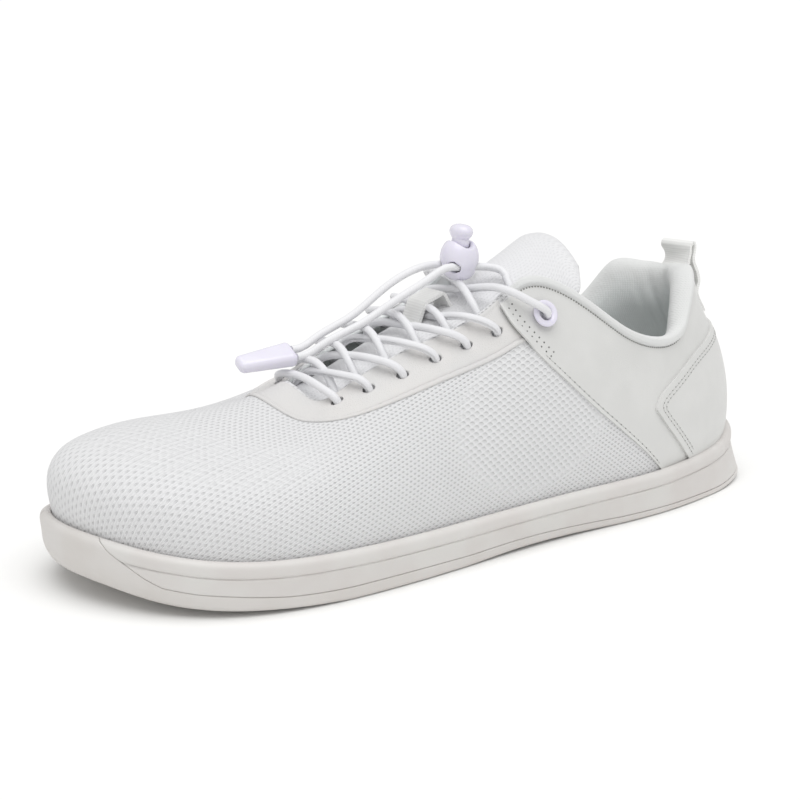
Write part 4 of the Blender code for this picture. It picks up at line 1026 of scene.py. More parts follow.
# Quarter
quarter = {
    "front": ((0, 0.768), (0.33, 0.696), (0.46, 0.652), (0.59, 0.616), (0.73, 0.592), (0.9, 0.574),
              (1, 0.57)),
    "roll": 2.7, "lift": 0.3, "thick": 0.9, "lip": 0.45, "lipWide": 1.6, "perPlace": 240,
    "stand": 1.4, "standShares": (0.68, 0.8), "tuck": 0.2, "tuckShares": (0.94, 1),
    "full": 2.2, "fullRises": (0.75, 0.95), "fullStart": (0.86, 0.93), "fullEnd": (0.99, 0.955),
    "creases": ((0.7, 0.62, 0.035, 0.22, 0.2), (0.735, 0.55, 0.02, 0.2, -0.16), (1.28, 0.6, 0.04, 0.22, 0.25),
                (1.25, 0.55, 0.02, 0.2, -0.2)),
}
frontCurve = spline([row[0] for row in quarter["front"]], [[row[1]] for row in quarter["front"]])


def quarterFront(rise):
    return frontCurve(np.asarray(rise, float))[..., 0]


def rollFoot(place):
    # Rise at which the collar's roll starts
    return 1 - quarter["roll"] / (3 * upperSizes(place)[..., 6])


def heelFull(place, rise):
    # How far the leather stands out on both sides of the pull tab
    near = np.minimum(place, 2 - place)
    beside = smoothStep(*quarter["fullStart"], near) * smoothStep(*quarter["fullEnd"], near)
    return quarter["full"] * beside * smoothStep(*quarter["fullRises"], rise)


def leatherLift(place, rise):
    # How far the quarter's outer face stands off the upper, with its lip, tuck and soft creases
    share = rise / rollFoot(place)
    front = quarterFront(share)
    fromFront = np.minimum(place - front, 2 - front - place) * quarter["perPlace"]
    lip = quarter["lip"] + quarter["stand"] * smoothStep(*quarter["standShares"], share)
    lift = quarter["lift"] + lip * np.exp(-(fromFront / quarter["lipWide"]) ** 2)
    lift = lift - quarter["tuck"] * smoothStep(*quarter["tuckShares"], share) + heelFull(place, rise)
    for at, level, wide, tall, deep in quarter["creases"]:
        lift = lift + deep * np.exp(-((place - at) / wide) ** 2 - ((rise - level) / tall) ** 2)
    return lift


def buildQuarter():
    even = np.linspace(0, 1, 241)
    near = np.array((0, 0.0012, 0.003, 0.006, 0.01))
    across = crowded(np.concatenate([near, even[3:-3], 1 - near[::-1]]), 0.3)[:, None]
    share = np.append(np.linspace(0, 0.97, 44), (0.985, 1.0))[None, :]
    front = quarterFront(share)
    place = front + (2 - 2 * front) * across
    rise = rollFoot(place) * share
    lift = leatherLift(place, rise)
    made = overlayPiece("quarter_leather", place, rise, lift, quarter["thick"], 0.3, quarterLeather)
    cutAway(made, eyeletCutter)
    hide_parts("quarter")


buildQuarter()

# Collar
collar = {
    "shares": (0, 0.06, 0.14, 0.25, 0.38, 0.52, 0.75, 1), "fullShare": 0.52, "under": 0.004, "sink": 0.7,
    "wall": 2.3,
    "ends": (0.579, 1.421), "taper": 0.03, "bulge": 2.2, "pad": (2.4, 4.6), "padFoot": 0.26,
    "heel": (0.8, 0.88, 4.4), "heelEnd": (1.02, 0.98), "crown": 2.3, "soft": (0.3, 0.09),
    "creases": ((1.04, 0.006, 1.4), (1.06, 0.008, 0.6), (0.93, 0.008, 0.5)),
}


def buildCollar():
    # The padded roll along the collar's edge and the soft padding inside it
    start, end = collar["ends"]
    even = np.linspace(0, 1, 261)
    place = start + (end - start) * crowded(even, 0.3)
    grow = smoothStep(0, collar["taper"], np.minimum(place - start, end - place))
    edge = upperEdge(place)
    foot = rollFoot(place) - collar["under"]
    rows = []
    for share in collar["shares"]:
        swell = math.sin(math.pi / 2 * min(1, share / collar["fullShare"]))
        lift = heelFull(place, 0.97) - collar["sink"] + grow * collar["bulge"] * swell
        rows.append(upperLift(place, foot + (1 - foot) * share, lift))
    outTop = rows[-1]
    heelShare = smoothStep(*collar["heel"][:2], place) * smoothStep(*collar["heelEnd"], place)
    rim = 0.25 * edge + 0.5 + collar["heel"][2] * heelShare
    pad = collar["pad"][0] + (collar["pad"][1] - collar["pad"][0]) * smoothStep(1.0, 1.06, place)
    crownMiddle = (rim - lift) / 2
    half = (rim + lift)[:, None] / 2
    normal = upperNormal(place, 1.0)
    up = unit(upperPoint(place, 1.0) - upperPoint(place, 0.99))
    tall = np.minimum(half, collar["crown"]) * (0.45 + 0.35 * grow[:, None])
    for turn in np.linspace(0, math.pi / 2, 8)[1:]:
        rows.append(outTop + normal * half * (math.cos(turn) - 1) + up * tall * math.sin(turn))
    crestShade = np.ones(len(rows))
    padFoot = collar["padFoot"]
    soft = collar["soft"][0] + (collar["soft"][1] - collar["soft"][0]) * heelShare
    crease = sum(deep * np.exp(-((place - at) / wide) ** 2) for at, wide, deep in collar["creases"])
    for share in np.linspace(0, 1, 32)[1:] ** 1.5:
        rise = 1 - (1 - padFoot) * share
        fade = math.sin(math.pi * (0.16 + 0.84 * share)) ** 0.8 if share < 1 else 0.0
        left = 1 - np.minimum(1, share / soft)
        thick = collar["wall"] + (edge - 2) * smoothStep(0.6, 1, rise) + grow * pad * fade
        thick = crownMiddle + (thick - crownMiddle) * np.sqrt(1 - left ** 2)
        thick = thick - crease * math.sin(math.pi * min(1, 1.4 * share))
        rows.append(upperLift(place, rise, -thick) + up * tall * left[:, None])
    for rise in (padFoot + 0.05, 0.7):
        rows.append(upperLift(place, rise, -1.2))
    rows.append(upperLift(place, foot - 0.02, -0.8))
    points = np.stack(rows, 1)
    count, around = points.shape[:2]
    made = addPiece("collar_padding", points, tubeFaces(count, around), lining, sharp=70)
    # Where the lining is painted greyer: the roll and the top of the padding, fading out inside, where it is
    # painted paler as painted light
    crestShade = np.append(crestShade, smoothStep(0.3, 0.05, np.linspace(0, 1, around - len(crestShade))))
    pointNumbers(made, "crestShade", np.broadcast_to(crestShade, (count, around)))


buildCollar()
print("quarter and collar built")

# Heel counter
counter = {
    "tip": 0.7625, "tipGap": 0.0004, "nose": 0.016, "heart": 38.4, "lift": 1.25, "thick": 1.15, "soft": 0.42,
    "rows": ((0.7625, 37, 39.8), (0.78, 30.4, 43.2), (0.8, 22.8, 46), (0.82, 16, 48.5), (0.85, 7, 51.9),
             (0.9, 3, 55.6), (0.95, 3, 58.8), (1.0, 3, 60.8)),
}
counterCurve = spline([row[0] for row in counter["rows"]], [row[1:] for row in counter["rows"]])


def counterEdges(place):
    # Heights of the counter's lower and upper edge, joined in a round nose
    near = np.minimum(place, 2 - place)
    low, high = np.moveaxis(counterCurve(near), -1, 0)
    nose = np.clip((near - counter["tip"]) / counter["nose"], 0, 1)
    blunt = np.sqrt(1 - (1 - nose) ** 2)
    heart = counter["heart"]
    return heart + (low - heart) * blunt, heart + (high - heart) * blunt


def buildCounter():
    even = np.linspace(0, 1, 201)
    bend = 0.5 - 0.5 * np.cos(math.pi * even)
    start = counter["tip"] + counter["tipGap"]
    place = start + 2 * (1 - start) * (0.55 * bend + 0.45 * even)
    low, high = counterEdges(place)
    low = np.maximum(low, soleSizes(place)[2] - 0.6)
    share = np.linspace(0, 1, 26)[None, :]
    level = low[:, None] + (high - low)[:, None] * share
    place = np.broadcast_to(place[:, None], level.shape)
    rise = riseAt(place, level)
    lift = np.full(place.shape, counter["lift"])
    made = overlayPiece("heel_counter_leather", place, rise, lift, counter["thick"], counter["soft"],
                        quarterLeather)
    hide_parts("heel_counter")


buildCounter()

# Eyestay
eyestay = {
    "top": 0.995, "under": 0.012, "tuck": 1.1, "lift": 0.2, "thick": 0.95, "roll": 0.5, "rollWide": 0.85,
    "foot": ((0, 0.917), (0.15, 0.902), (0.223, 0.88), (0.27, 0.853), (0.345, 0.765), (0.409, 0.738),
             (0.467, 0.75), (0.526, 0.758), (0.6, 0.73)),
    "rows": (0, 0.2, 0.45, 0.8, 1.15, 1.45, 1.7, 1.95, 2.2, 2.6), "topStart": 2.4,
    "topRows": (1.8, 1.3, 0.9, 0.5, 0.2, 0.0), "endRise": 0.72,
}
eyestayRows = [(-share, rise) for share, rise in reversed(eyestay["foot"][1:])] + list(eyestay["foot"])
eyestayFoot = spline([row[0] for row in eyestayRows], [row[1:] for row in eyestayRows])


def buildEyestay():
    # A smooth overlay round the throat, its lower edge turned over a thin cord
    even = np.linspace(-1, 1, 281)[:, None]
    share = np.linspace(0, 1, 14)[None, :]
    end = quarterFront(np.linspace(eyestay["endRise"], eyestay["top"], 24)) - 0.002
    foot = eyestayFoot(even[:, 0] * end[0])[..., 0]
    length = np.array([walked(upperPoint(np.full(9, at * end[12]), np.linspace(low, eyestay["top"], 9)))[-1]
                       for at, low in zip(even[:, 0], foot)])
    hem = np.array(eyestay["rows"])[None, :]
    rest = hem[:, -1:] + (length[:, None] - eyestay["topStart"] - hem[:, -1:]) * share[:, 1:]
    top = length[:, None] - np.array(eyestay["topRows"])[None, :]
    far = np.concatenate([np.broadcast_to(hem, (len(even), hem.shape[1])), rest, top], 1)
    rise = foot[:, None] + (eyestay["top"] - foot[:, None]) * far / length[:, None]
    endAt = quarterFront(np.clip(rise, 0.7, 1)) + eyestay["under"]
    place = even * endAt
    wide = eyestay["rollWide"]
    roll = eyestay["roll"] * np.sqrt(np.clip(1 - ((far - wide) / wide) ** 2, 0, 1))
    groove = -0.22 * np.exp(-((far - 1.95) / 0.22) ** 2)
    groove = groove + 0.25 * np.exp(-((length[:, None] - far - 0.7) / 0.5) ** 2)
    past = np.abs(place) - endAt + eyestay["under"]
    tuck = eyestay["tuck"] * smoothStep(-0.003, 0.6 * eyestay["under"], past)
    lift = eyestay["lift"] + roll + groove - tuck
    made = overlayPiece("eyestay_leather", place, rise, lift, eyestay["thick"], 0.25, eyestayLeather)
    cutAway(made, slotCutter)
    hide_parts("eyestay")


buildEyestay()
dropCutter(slotCutter)
dropCutter(eyeletCutter)
print("overlays built")


# Tongue
tongue = {
    "rows": ((207, 55.4, 13, 5.4), (196, 55.6, 15, 5.4), (178, 60.5, 19, 7), (155, 69.8, 22, 9),
             (131, 78.6, 23, 10.5), (112, 86.8, 22.5, 12.5), (98, 93.8, 22.6, 12.5), (91, 97.8, 22.6, 13.5),
             (88, 99.6, 18, 9)),
    "thick": 5.0, "sink": 1.2, "columns": 41, "stations": 90,
}
tongueSizes = spline([-row[0] for row in tongue["rows"]], [row[1:] for row in tongue["rows"]])


def tonguePoint(station, across):
    height, half, hang = np.moveaxis(tongueSizes(-np.asarray(station, float)), -1, 0)
    height = height - tongue["sink"] * smoothStep(108, 122, station) * smoothStep(204, 192, station)
    station = np.broadcast_to(station, np.shape(height))
    return np.stack([station, centre + half * across, height - hang * across**2], -1)


def clothPiece(name, points, thick, finish):
    # A soft band or flap: a sheet of points, thickened to both sides and closed round its border
    rows, columns = points.shape[:2]
    normal = unit(np.cross(np.gradient(points, axis=0), np.gradient(points, axis=1)))
    thick = np.broadcast_to(np.asarray(thick, float), (rows, columns))[..., None]
    sheets = np.stack([points + normal * thick / 2, points - normal * thick / 2])
    faces = gridFaces(rows, columns) + [face[::-1] for face in gridFaces(rows, columns, first=rows * columns)]
    border = [(0, j) for j in range(columns)] + [(i, columns - 1) for i in range(1, rows)]
    border += [(rows - 1, j) for j in range(columns - 2, -1, -1)] + [(i, 0) for i in range(rows - 2, 0, -1)]
    numbers = [i * columns + j for i, j in border]
    for one, two in zip(numbers, numbers[1:] + numbers[:1]):
        faces.append([one, two, two + rows * columns, one + rows * columns])
    made = addPiece(name, sheets, faces, finish, sharp=75)
    along = np.stack([walked(points[:, columns // 2])] * columns, 1)
    across = np.stack([walked(line) for line in points])
    pointCloth(made, np.stack([along, along]), np.stack([across, across]))
    return made


def buildTongue():
    share = np.linspace(0, 1, tongue["stations"])
    front, back = tongue["rows"][0][0], tongue["rows"][-1][0]
    station = front - (front - back) * (0.6 * share + 0.4 * np.sin(share * math.pi / 2))
    across = np.sin(np.linspace(-math.pi / 2, math.pi / 2, tongue["columns"]))
    points = np.stack([tonguePoint(station, at) for at in across], 1)
    ends = np.sqrt(np.clip((station - back) / 2.5, 0, 1))[:, None]
    edges = np.sqrt(np.clip(1 - np.abs(across) ** 6, 0, 1))[None, :]
    thick = tongue["thick"] * edges * np.maximum(ends, 0.12)
    puff = 0.8 * np.sin(np.clip((station - 96) / 40, 0, 1) * math.pi)[:, None] * (1 - across[None, :] ** 2)
    made = clothPiece("tongue_knit", points, np.maximum(thick + puff, 0.3), tongueKnit)
    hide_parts("tongue")


buildTongue()

# Webbing loops
loop = {
    "wide": 10.0, "thick": 1.2, "side": -2.0, "stations": (148.4, 132.4), "arch": 6.9, "leg": 0.3,
    "lift": 0.9,
}
tab = {
    "wide": 12.6, "thick": 1.3, "skew": -0.28, "turn": (84.0, 90.0), "rises": (0.67, 0.72, 0.78),
    "lift": 1.3, "laid": (76, 70),
    "crown": ((17.6, 77.2), (18.8, 80.2), (20.2, 83), (20.8, 86), (21.4, 88.8), (22.4, 90.5), (23.6, 89.6),
              (23.2, 87.4), (22.8, 85), (23.4, 82.2), (25.4, 80.4)),
}


def buildLoop():
    share = np.linspace(0, 1, 61)
    station = loop["stations"][0] + (loop["stations"][1] - loop["stations"][0]) * share
    arch = smoothStep(0, loop["leg"], share) * smoothStep(1, 1 - loop["leg"], share)
    flat = tongueSizes(-station)[..., 0] + loop["lift"] + loop["arch"] * arch
    across = np.linspace(-0.5, 0.5, 9) * loop["wide"]
    rows = [np.stack([station, np.full(61, centre + loop["side"] + at), flat], -1) for at in across]
    made = clothPiece("tongue_loop_webbing", np.stack(rows, 1), loop["thick"], webbing)
    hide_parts("tongue_loop")


def buildTab():
    heel = [upperLift(1.0, rise, tab["lift"]) for rise in tab["rises"]]
    line = [(point[0], point[2]) for point in heel] + list(tab["crown"])
    fine = smoothPath([(station, 0.0, height) for station, height in line], 90)
    across = np.linspace(-0.5, 0.5, 11)
    lean = tab["skew"] * smoothStep(*tab["turn"], fine[:, 2])
    laid = smoothStep(*tab["laid"], fine[:, 2])[:, None]
    heelRise = riseAt(np.ones(90), fine[:, 2])
    around = np.linalg.norm(upperWays(1.0, heelRise)[0], axis=-1)
    rows = []
    for at in across:
        side = at * tab["wide"]
        free = np.stack([fine[:, 0] + lean * side, np.full(90, centre) + side, fine[:, 2]], -1)
        hugged = upperPoint(1 - side / around, heelRise) - upperPoint(1.0, heelRise) + fine + (0, centre, 0)
        rows.append(free + (hugged - free) * laid)
    made = clothPiece("pull_tab_webbing", np.stack(rows, 1), tab["thick"], webbing)
    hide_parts("pull_tab")


buildLoop()
buildTab()


# Insole rows: inset, height
insole = {
    "rows": ((7.0, 0.0), (6.4, 0.25), (6.2, 0.9), (6.2, 2.5), (6.5, 3.1), (7.4, 3.45), (9.0, 3.5),
             (14.0, 3.5)),
}


def buildInsole():
    floor = cupFloor(places) + cupInside["gap"]
    rings = [ring(places, inset, floor + height) for inset, height in insole["rows"]]
    made = ringPiece("insole_cloth", rings, insoleCloth)
    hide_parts("insole")


buildInsole()
print("tongue, loops and insole built")

# Lace
lace = {
    "lift": 3.2, "eyeletLift": 1.6, "overEdge": 3.6, "overRise": 0.985, "arch": 1.7, "above": 1.65,
    "below": 1.45, "loopLevel": 5, "underLoop": 1.45, "ahead": 0.027, "dive": 0.009, "firstDive": 0.004,
    "topCross": 0.583, "inset": 3.4, "drop": 0.9, "under": 4.2, "space": 1.1, "sides": 14,
    "barCross": 0.285, "barMiddle": (195.4, 1.0, 62.4),
}
laceHoles = list(upper["slots"]) + [upper["eyelet"]]


def sided(share, outer):
    return share if outer else 2 - share


def strand(level, fromOuter):
    # From hole number level over the throat's edge, across the tongue and under the far edge
    share, rise = laceHoles[level]
    eyelet = level == len(laceHoles) - 1
    near = sided(share, fromOuter)
    cross = sided(lace["topCross"] if eyelet else share - lace["ahead"], fromOuter)
    low = laceHoles[level - 1][0]
    dive = sided(low + lace["firstDive"] if level == 1 else low - lace["dive"], not fromOuter)
    deep = 5.5 if eyelet else 4.0
    over = upperLift(cross, lace["overRise"], lace["overEdge"])
    toEdge = shifted(near, rise, (over - upperPoint(near, rise)) * 0.42)
    far = upperLift(dive, lace["overRise"], lace["overEdge"])
    middleSpot = (over + far) / 2
    middleSpot[1] = centre
    middleSpot[2] += lace["arch"] + (-lace["below"] if fromOuter else lace["above"])
    middleSpot[2] -= lace["underLoop"] if level == lace["loopLevel"] else 0
    inboard = unit((over - far) * (1, 1, 0))
    end = upperPoint(dive, 1.0) + inboard * lace["inset"] - np.array((0, 0, lace["drop"]))
    under = upperLift(sided(low, not fromOuter), laceHoles[level - 1][1], -lace["under"])
    first = [upperLift(near, rise, -deep), upperLift(near, rise, 3.6 if eyelet else 0.4)]
    lift = lace["lift"] + (lace["eyeletLift"] if eyelet else 0)
    return first + [upperLift(*toEdge, lift), over, middleSpot, end, under]


def laceStart(outer):
    # Takes up a free end behind the collar and runs it down to the eyelet's back
    start, behind = [np.array((station, away if outer else 2 * centre - away, height))
                     for station, away, height in laceEnds["collar"]]
    way = unit(start - behind)
    return [start - way * 2.5, start, start + way * 4.0]


def laceRoute():
    route = []
    levels = list(range(len(laceHoles) - 1, 0, -1))
    for side in (True, False):
        run, outer = [], side
        for level in levels:
            if run:
                run += strand(level, outer)[1:]
            else:
                run = laceStart(outer) + strand(level, outer)
            outer = not outer
        route.append(run)
    down, up = route
    # Six crossings end on the side they began on, so the outer chain comes up through the outer front hole
    share, rise = laceHoles[0]
    lift = lace["overEdge"] - 0.4
    bar = [upperLift(share, rise, 0.4), upperLift(lace["barCross"], lace["overRise"], lift),
           np.array(lace["barMiddle"]), upperLift(2 - lace["barCross"], lace["overRise"], lift),
           upperLift(2 - share, rise, 0.4)]
    return down + bar + up[::-1]


def buildLace():
    path = evenPath(laceRoute(), lace["space"])
    made = tube("lace_elastic", path, laceRadius, lace["sides"], elastic)
    for node in ["lace_bar"] + [f"lace_cross_{k}" for k in range(1, 7)]:
        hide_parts(node)


buildLace()
print("lace threaded")

# Eyelets
eyelets = {
    "lift": 1.8, "steps": 48,
    "profile": ((2.4, -4.6), (3.0, -4.6), (3.0, 0.0), (4.55, 0.0), (4.75, 0.15), (4.82, 0.5), (4.72, 0.9),
                (4.4, 1.18), (3.9, 1.26), (3.3, 1.22), (2.9, 1.08), (2.6, 0.85), (2.44, 0.5), (2.4, 0.0)),
}


def buildEyelet(name, outer, node):
    share, rise = upper["eyelet"]
    place = sided(share, outer)
    axis = upperNormal(place, rise)
    seat = upperLift(place, rise, eyelets["lift"])
    side = unit(np.cross(axis, (0.0, 0.0, 1.0)))
    turns = np.arange(eyelets["steps"]) * 2 * math.pi / eyelets["steps"]
    spokes = np.cos(turns)[:, None] * side + np.sin(turns)[:, None] * np.cross(axis, side)
    rings = np.stack([seat + radius * spokes + axis * height for radius, height in eyelets["profile"]])
    made = addPiece(name, rings, gridFaces(len(rings), eyelets["steps"], True, True), plastic, sharp=60)
    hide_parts(node)


buildEyelet("eyelet_ring_outer", True, "eyelet_outer")
buildEyelet("eyelet_ring_inner", False, "eyelet_inner")

# Cord lock
lock = {
    "half": (6.8, 6.6, 7.8), "power": 2.2, "bore": 3.5, "boreFloor": 8.0, "notch": 4.6, "notchHeight": 16.7,
    "hole": 1.95, "drillReach": 12.0, "boreTop": 24.0, "drillSides": 36, "voxel": 0.3,
}
button = {
    "stem": 3.15, "stemFoot": 11.5, "stemTop": 14.5, "soft": 0.4, "cap": (3.8, 4.8), "sides": 48,
    "capRows": ((0.8, 0.62, 15.0), (0.89, 0.79, 15.7), (0.96, 0.92, 16.5), (1.0, 1.0, 17.3),
                (0.98, 0.98, 18.0), (0.9, 0.91, 18.7), (0.75, 0.77, 19.35), (0.52, 0.55, 19.8),
                (0.26, 0.28, 20.02), (0.08, 0.08, 20.08)),
}


def lockCutter(name, radius, start, end, seat, way):
    # A round drill for the lock: its axis, its start and end along it, and where it passes
    seat, start, end = [np.asarray(part, float) for part in (seat, start, end)]
    way = np.asarray(way, float)
    side = np.array((0.0, 0.0, 1.0)) if way[2] == 0 else np.array((1.0, 0.0, 0.0))
    other = np.cross(way, side)
    sides = lock["drillSides"]
    turns = np.arange(sides) * 2 * math.pi / sides
    spokes = radius * (np.cos(turns)[:, None] * side + np.sin(turns)[:, None] * other)
    local = np.concatenate([seat + way * start + spokes, seat + way * end + spokes])
    return addPiece(name, lockToShoe(*local.T), tubeFaces(2, sides), body=None)


def buildLock():
    # A swollen box with two lace holes, a bore for the button and a notch for its cap
    deselectAll()
    bpy.ops.mesh.primitive_uv_sphere_add(segments=64, ring_count=40, radius=1.0)
    body = bpy.context.object
    body.name = body.data.name = "cord_lock_shell"
    flat = np.zeros(3 * len(body.data.vertices))
    body.data.vertices.foreach_get("co", flat)
    sphere = unit(flat.reshape(-1, 3))
    size = np.array(lock["half"])
    reach = (np.abs(sphere) ** lock["power"]).sum(1) ** (-1 / lock["power"])
    local = sphere * reach[:, None] * size + (0, 0, size[2])
    body.data.vertices.foreach_set("co", placed(lockToShoe(*local.T)).ravel())
    far, floor, top = lock["drillReach"], lock["boreFloor"], lock["boreTop"]
    drills = [lockCutter("drill_notch", lock["notch"], -far, far, (0, 0, lock["notchHeight"]), (0, 1, 0)),
              lockCutter("drill_bore", lock["bore"], floor, top, (0, 0, 0), (0, 0, 1))]
    holeSide, holeHeight = laceEnds["lockHole"]
    for way in (1, -1):
        seat = (0, way * holeSide, holeHeight)
        drills.append(lockCutter("drill_hole", lock["hole"], -far, far, seat, (1, 0, 0)))
    for drill in drills:
        cutAway(body, drill)
        dropCutter(drill)
    addModifier(body, "REMESH", mode="VOXEL", voxel_size=lock["voxel"] * mm)
    addModifier(body, "SMOOTH", factor=0.5, iterations=6)
    applyAll(body)
    body.data.materials.append(plastic)
    body.data.shade_smooth()
    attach(body, "shoe")
    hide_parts("cord_lock")
    return body


def buildButton():
    sides = button["sides"]
    turns = np.arange(sides) * 2 * math.pi / sides
    stem, foot, soft = button["stem"], button["stemFoot"], button["soft"]
    rows = [(stem - soft, stem - soft, foot), (stem, stem, foot + soft), (stem, stem, button["stemTop"])]
    rows += [(a * button["cap"][0], b * button["cap"][1], height) for a, b, height in button["capRows"]]
    local = np.stack([np.stack([a * np.cos(turns), b * np.sin(turns), np.full(sides, height)], -1)
                      for a, b, height in rows])
    points = lockToShoe(*local.reshape(-1, 3).T)
    faces = tubeFaces(len(rows), sides)
    made = addPiece("cord_lock_push_button", points, faces, plastic, body="button", sharp=60)
    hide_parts("cord_lock_button")
    return made


# Clamp on the lace's tips
clamp = {"wide": (4.8, 3.2), "thick": (2.6, 2.2), "round": 2.0}


def buildClamp():
    deselectAll()
    bpy.ops.mesh.primitive_cube_add(size=2.0)
    made = bpy.context.object
    made.name = made.data.name = "lace_clamp"
    length = np.linalg.norm(clampTip - clampBack)
    flat = np.zeros(24)
    made.data.vertices.foreach_get("co", flat)
    local = flat.reshape(-1, 3)
    far = (local[:, 0] + 1) / 2
    wide = clamp["wide"][0] + (clamp["wide"][1] - clamp["wide"][0]) * far
    thick = clamp["thick"][0] + (clamp["thick"][1] - clamp["thick"][0]) * far
    points = clampBack + np.outer(far * length, clampAlong) + np.outer(local[:, 1] * wide, clampSide)
    points += np.outer(local[:, 2] * thick, clampUp)
    made.data.vertices.foreach_set("co", placed(points).ravel())
    addModifier(made, "BEVEL", width=clamp["round"] * mm, segments=8, profile=0.5)
    applyAll(made)
    made.data.materials.append(plastic)
    made.data.shade_smooth()
    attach(made, "shoe")
    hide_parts("cord_end")
    return made


lockShell, pushButton, laceClamp = buildLock(), buildButton(), buildClamp()


print("lock, clamp and eyelets built")


# Stitches
stitches = {
    "collar": {"pitch": 1.15, "ends": (0.6, 1.4), "lift": 0.05},
    "counter": {"pitch": 2.3, "away": (2.4, 3.8), "lift": 1.28, "foot": 0.828, "end": 0.965},
    "front": {"pitch": 2.7, "away": 0.75, "rises": (0.04, 0.64), "lift": 0.06},
    "punched": {"pitch": 2.5, "aways": (2.0, 4.1), "rises": (0.6, 0.96), "lift": 0.03},
    "threadSize": (0.8, 0.22, 0.18), "needleSize": (0.36, 0.26, 0.14), "edgeSize": (0.5, 0.24, 0.16),
    "punchSize": (0.32, 0.32, 0.12),
}


def ball(sides, rings):
    # A small round bead, drawn out and laid down for each stitch and hole
    turns = np.arange(sides) * 2 * math.pi / sides
    tilts = np.linspace(0, math.pi, rings)[1:-1, None]
    across = [np.sin(tilts) * np.cos(turns), np.sin(tilts) * np.sin(turns)]
    points = np.stack([np.broadcast_to(-np.cos(tilts), across[0].shape)] + across, -1)
    return points.reshape(-1, 3), tubeFaces(rings - 2, sides)


def spaced(place, rise, pitch):
    # Places and rises at an even pitch along a line on the outer face
    length = walked(upperPoint(place, rise))
    at = np.arange(pitch / 2, length[-1] - pitch / 4, pitch)
    return np.interp(at, length, place), np.interp(at, length, rise)


def midway(line):
    # Places and rises halfway between the stitches of a line
    return [(values[1:] + values[:-1]) / 2 for values in line]


def beads(spots, sizes, sides=8, rings=6):
    # Beads of given half sizes at spots, each a place, a rise and its lift, drawn out along their line
    base, faces = ball(sides, rings)
    points, allFaces = [], []
    for place, rise, lift in spots:
        centres = upperLift(place, rise, lift)
        along = unit(np.gradient(centres, axis=0))
        normal = upperNormal(place, rise)
        along = unit(along - normal * (along * normal).sum(-1, keepdims=True))
        across = np.cross(normal, along)
        for k in range(len(centres)):
            allFaces += [[index + len(base) * len(points) for index in face] for face in faces]
            axes = np.stack([along[k], across[k], normal[k]]) * np.array(sizes)[:, None]
            points.append(centres[k] + base @ axes)
    return np.concatenate(points), allFaces


def counterLine(away, outer):
    # A line inside the counter's edge: from the sole round its nose, and back along its top to the heel
    down = np.linspace(stitches["counter"]["foot"], counter["tip"] + 0.0005, 60)
    up = counter["tip"] + 0.0005 + (1 - counter["tip"]) * np.linspace(0, 1, 121) ** 1.6
    place = np.concatenate([down, up[1:]])
    level = np.concatenate([counterEdges(down)[0], counterEdges(up[1:])[1]])
    place, rise = spaced(place, riseAt(place, level), 0.6)
    edge = upperPoint(place, rise)
    place, rise = besideLine(place, rise, -away)
    inside = np.linalg.norm(upperPoint(place, rise)[:, None] - edge[None], axis=-1).min(1) > 0.96 * away
    inside &= upperPoint(place, rise)[:, 2] > soleSizes(place)[2] + 1.2
    inside &= place < stitches["counter"]["end"]
    place, rise = place[inside], rise[inside]
    return (place, rise) if outer else (2 - place, riseAt(2 - place, upperPoint(place, rise)[:, 2]))


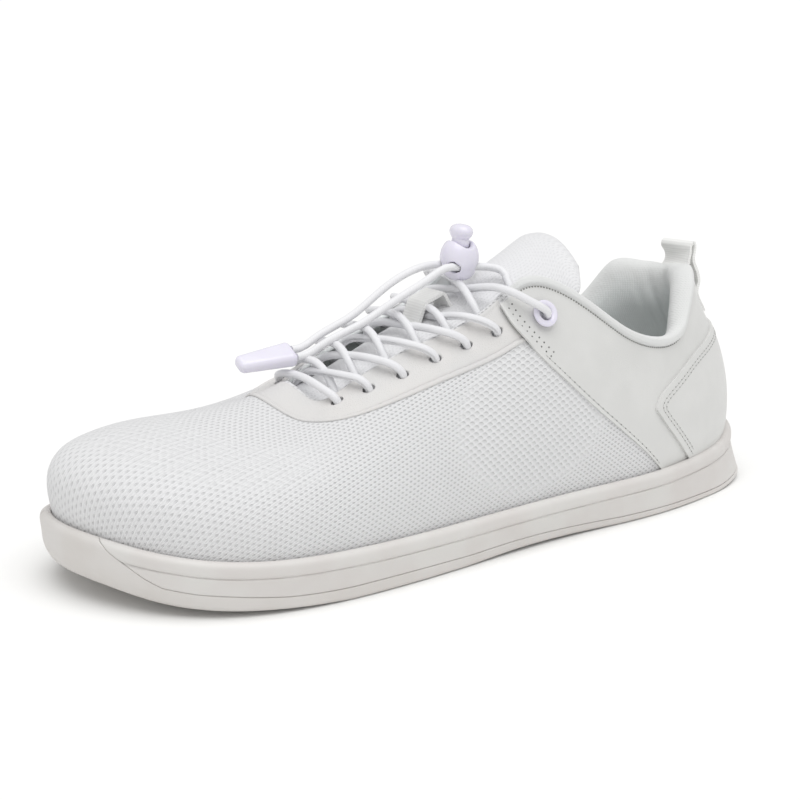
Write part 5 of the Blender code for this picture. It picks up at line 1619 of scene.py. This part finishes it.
def buildStitches():
    threadSpots, holeSpots, frontSpots, punchedSpots = [], [], [], []
    collarLine = stitches["collar"]
    place = np.linspace(*collarLine["ends"], 400)
    place, rise = spaced(place, rollFoot(place) - collar["under"], collarLine["pitch"])
    holeSpots.append((place, rise, leatherLift(place, rise) + collarLine["lift"]))
    counterLines = stitches["counter"]
    for outer in (True, False):
        for away in counterLines["away"]:
            line = spaced(*counterLine(away, outer), counterLines["pitch"])
            threadSpots.append((*line, np.full(line[0].shape, counterLines["lift"])))
            between = midway(line)
            holeSpots.append((*between, np.full(between[0].shape, counterLines["lift"] - 0.05)))
        front = stitches["front"]
        rise = np.linspace(*front["rises"], 200)
        place, rise = besideLine(quarterFront(rise), rise, -front["away"])
        line = spaced(place if outer else 2 - place, rise, front["pitch"])
        threadSpots.append((*line, leatherLift(*line) + front["lift"]))
        between = midway(line)
        frontSpots.append((*between, leatherLift(*between) + front["lift"] - 0.1))
        punched = stitches["punched"]
        for away in punched["aways"]:
            rise = np.linspace(*punched["rises"], 200)
            place, rise = besideLine(quarterFront(rise), rise, -away)
            line = spaced(place if outer else 2 - place, rise, punched["pitch"])
            punchedSpots.append((*line, leatherLift(*line) + punched["lift"]))
    # The holes are dark beads of painted shade; only the thread stitches are real parts
    for name, spots, size, finish in (("thread_stitches", threadSpots, "threadSize", thread),
                                      ("needle_holes", holeSpots, "needleSize", needleHoleShade),
                                      ("edge_stitch_holes", frontSpots, "edgeSize", punchHoleShade),
                                      ("punched_holes", punchedSpots, "punchSize", punchHoleShade)):
        addPiece(name, *beads(spots, stitches[size]), finish)


buildStitches()
print("stitches sewn")


# Light and floor
def floorFinish():
    # Seamless white paper, lit to pure white away from the shoe's shadow
    made, tree, shader, where = startFinish("white_paper")
    mottle = worked(tree, "Noise", where, perMm(40.0))
    base = worked(tree, "Mix", mottle, linear("#f7f7f6"), linear("#f9f9f8"))
    setShader(tree, shader, Base_Color=base, Roughness=0.95)
    shader.inputs["Specular IOR Level"].default_value = 0.0
    return made


studio = {"energy": 1.65, "spread": 60, "way": (-0.1, -0.25, -1.0), "sky": 0.6, "floor": 6}
sunData = bpy.data.lights.new("softbox", "SUN")
sunData.energy = studio["energy"]
sunData.angle = math.radians(studio["spread"])
sun = bpy.data.objects.new("softbox", sunData)
bpy.context.scene.collection.objects.link(sun)
sun.rotation_euler = Vector(studio["way"]).to_track_quat("-Z", "Y").to_euler()
world = bpy.data.worlds.new("studio")
bpy.context.scene.world = world
world.use_nodes = True
background = world.node_tree.nodes["Background"]
background.inputs["Color"].default_value = (1, 1, 1, 1)
background.inputs["Strength"].default_value = studio["sky"]
bpy.context.scene.view_settings.view_transform = "Standard"
deselectAll()
bpy.ops.mesh.primitive_plane_add(size=studio["floor"], location=(0, 0, 0))
floor = bpy.context.object
floor.name = "floor"
floor.data.materials.append(floorFinish())
print("light and floor set")
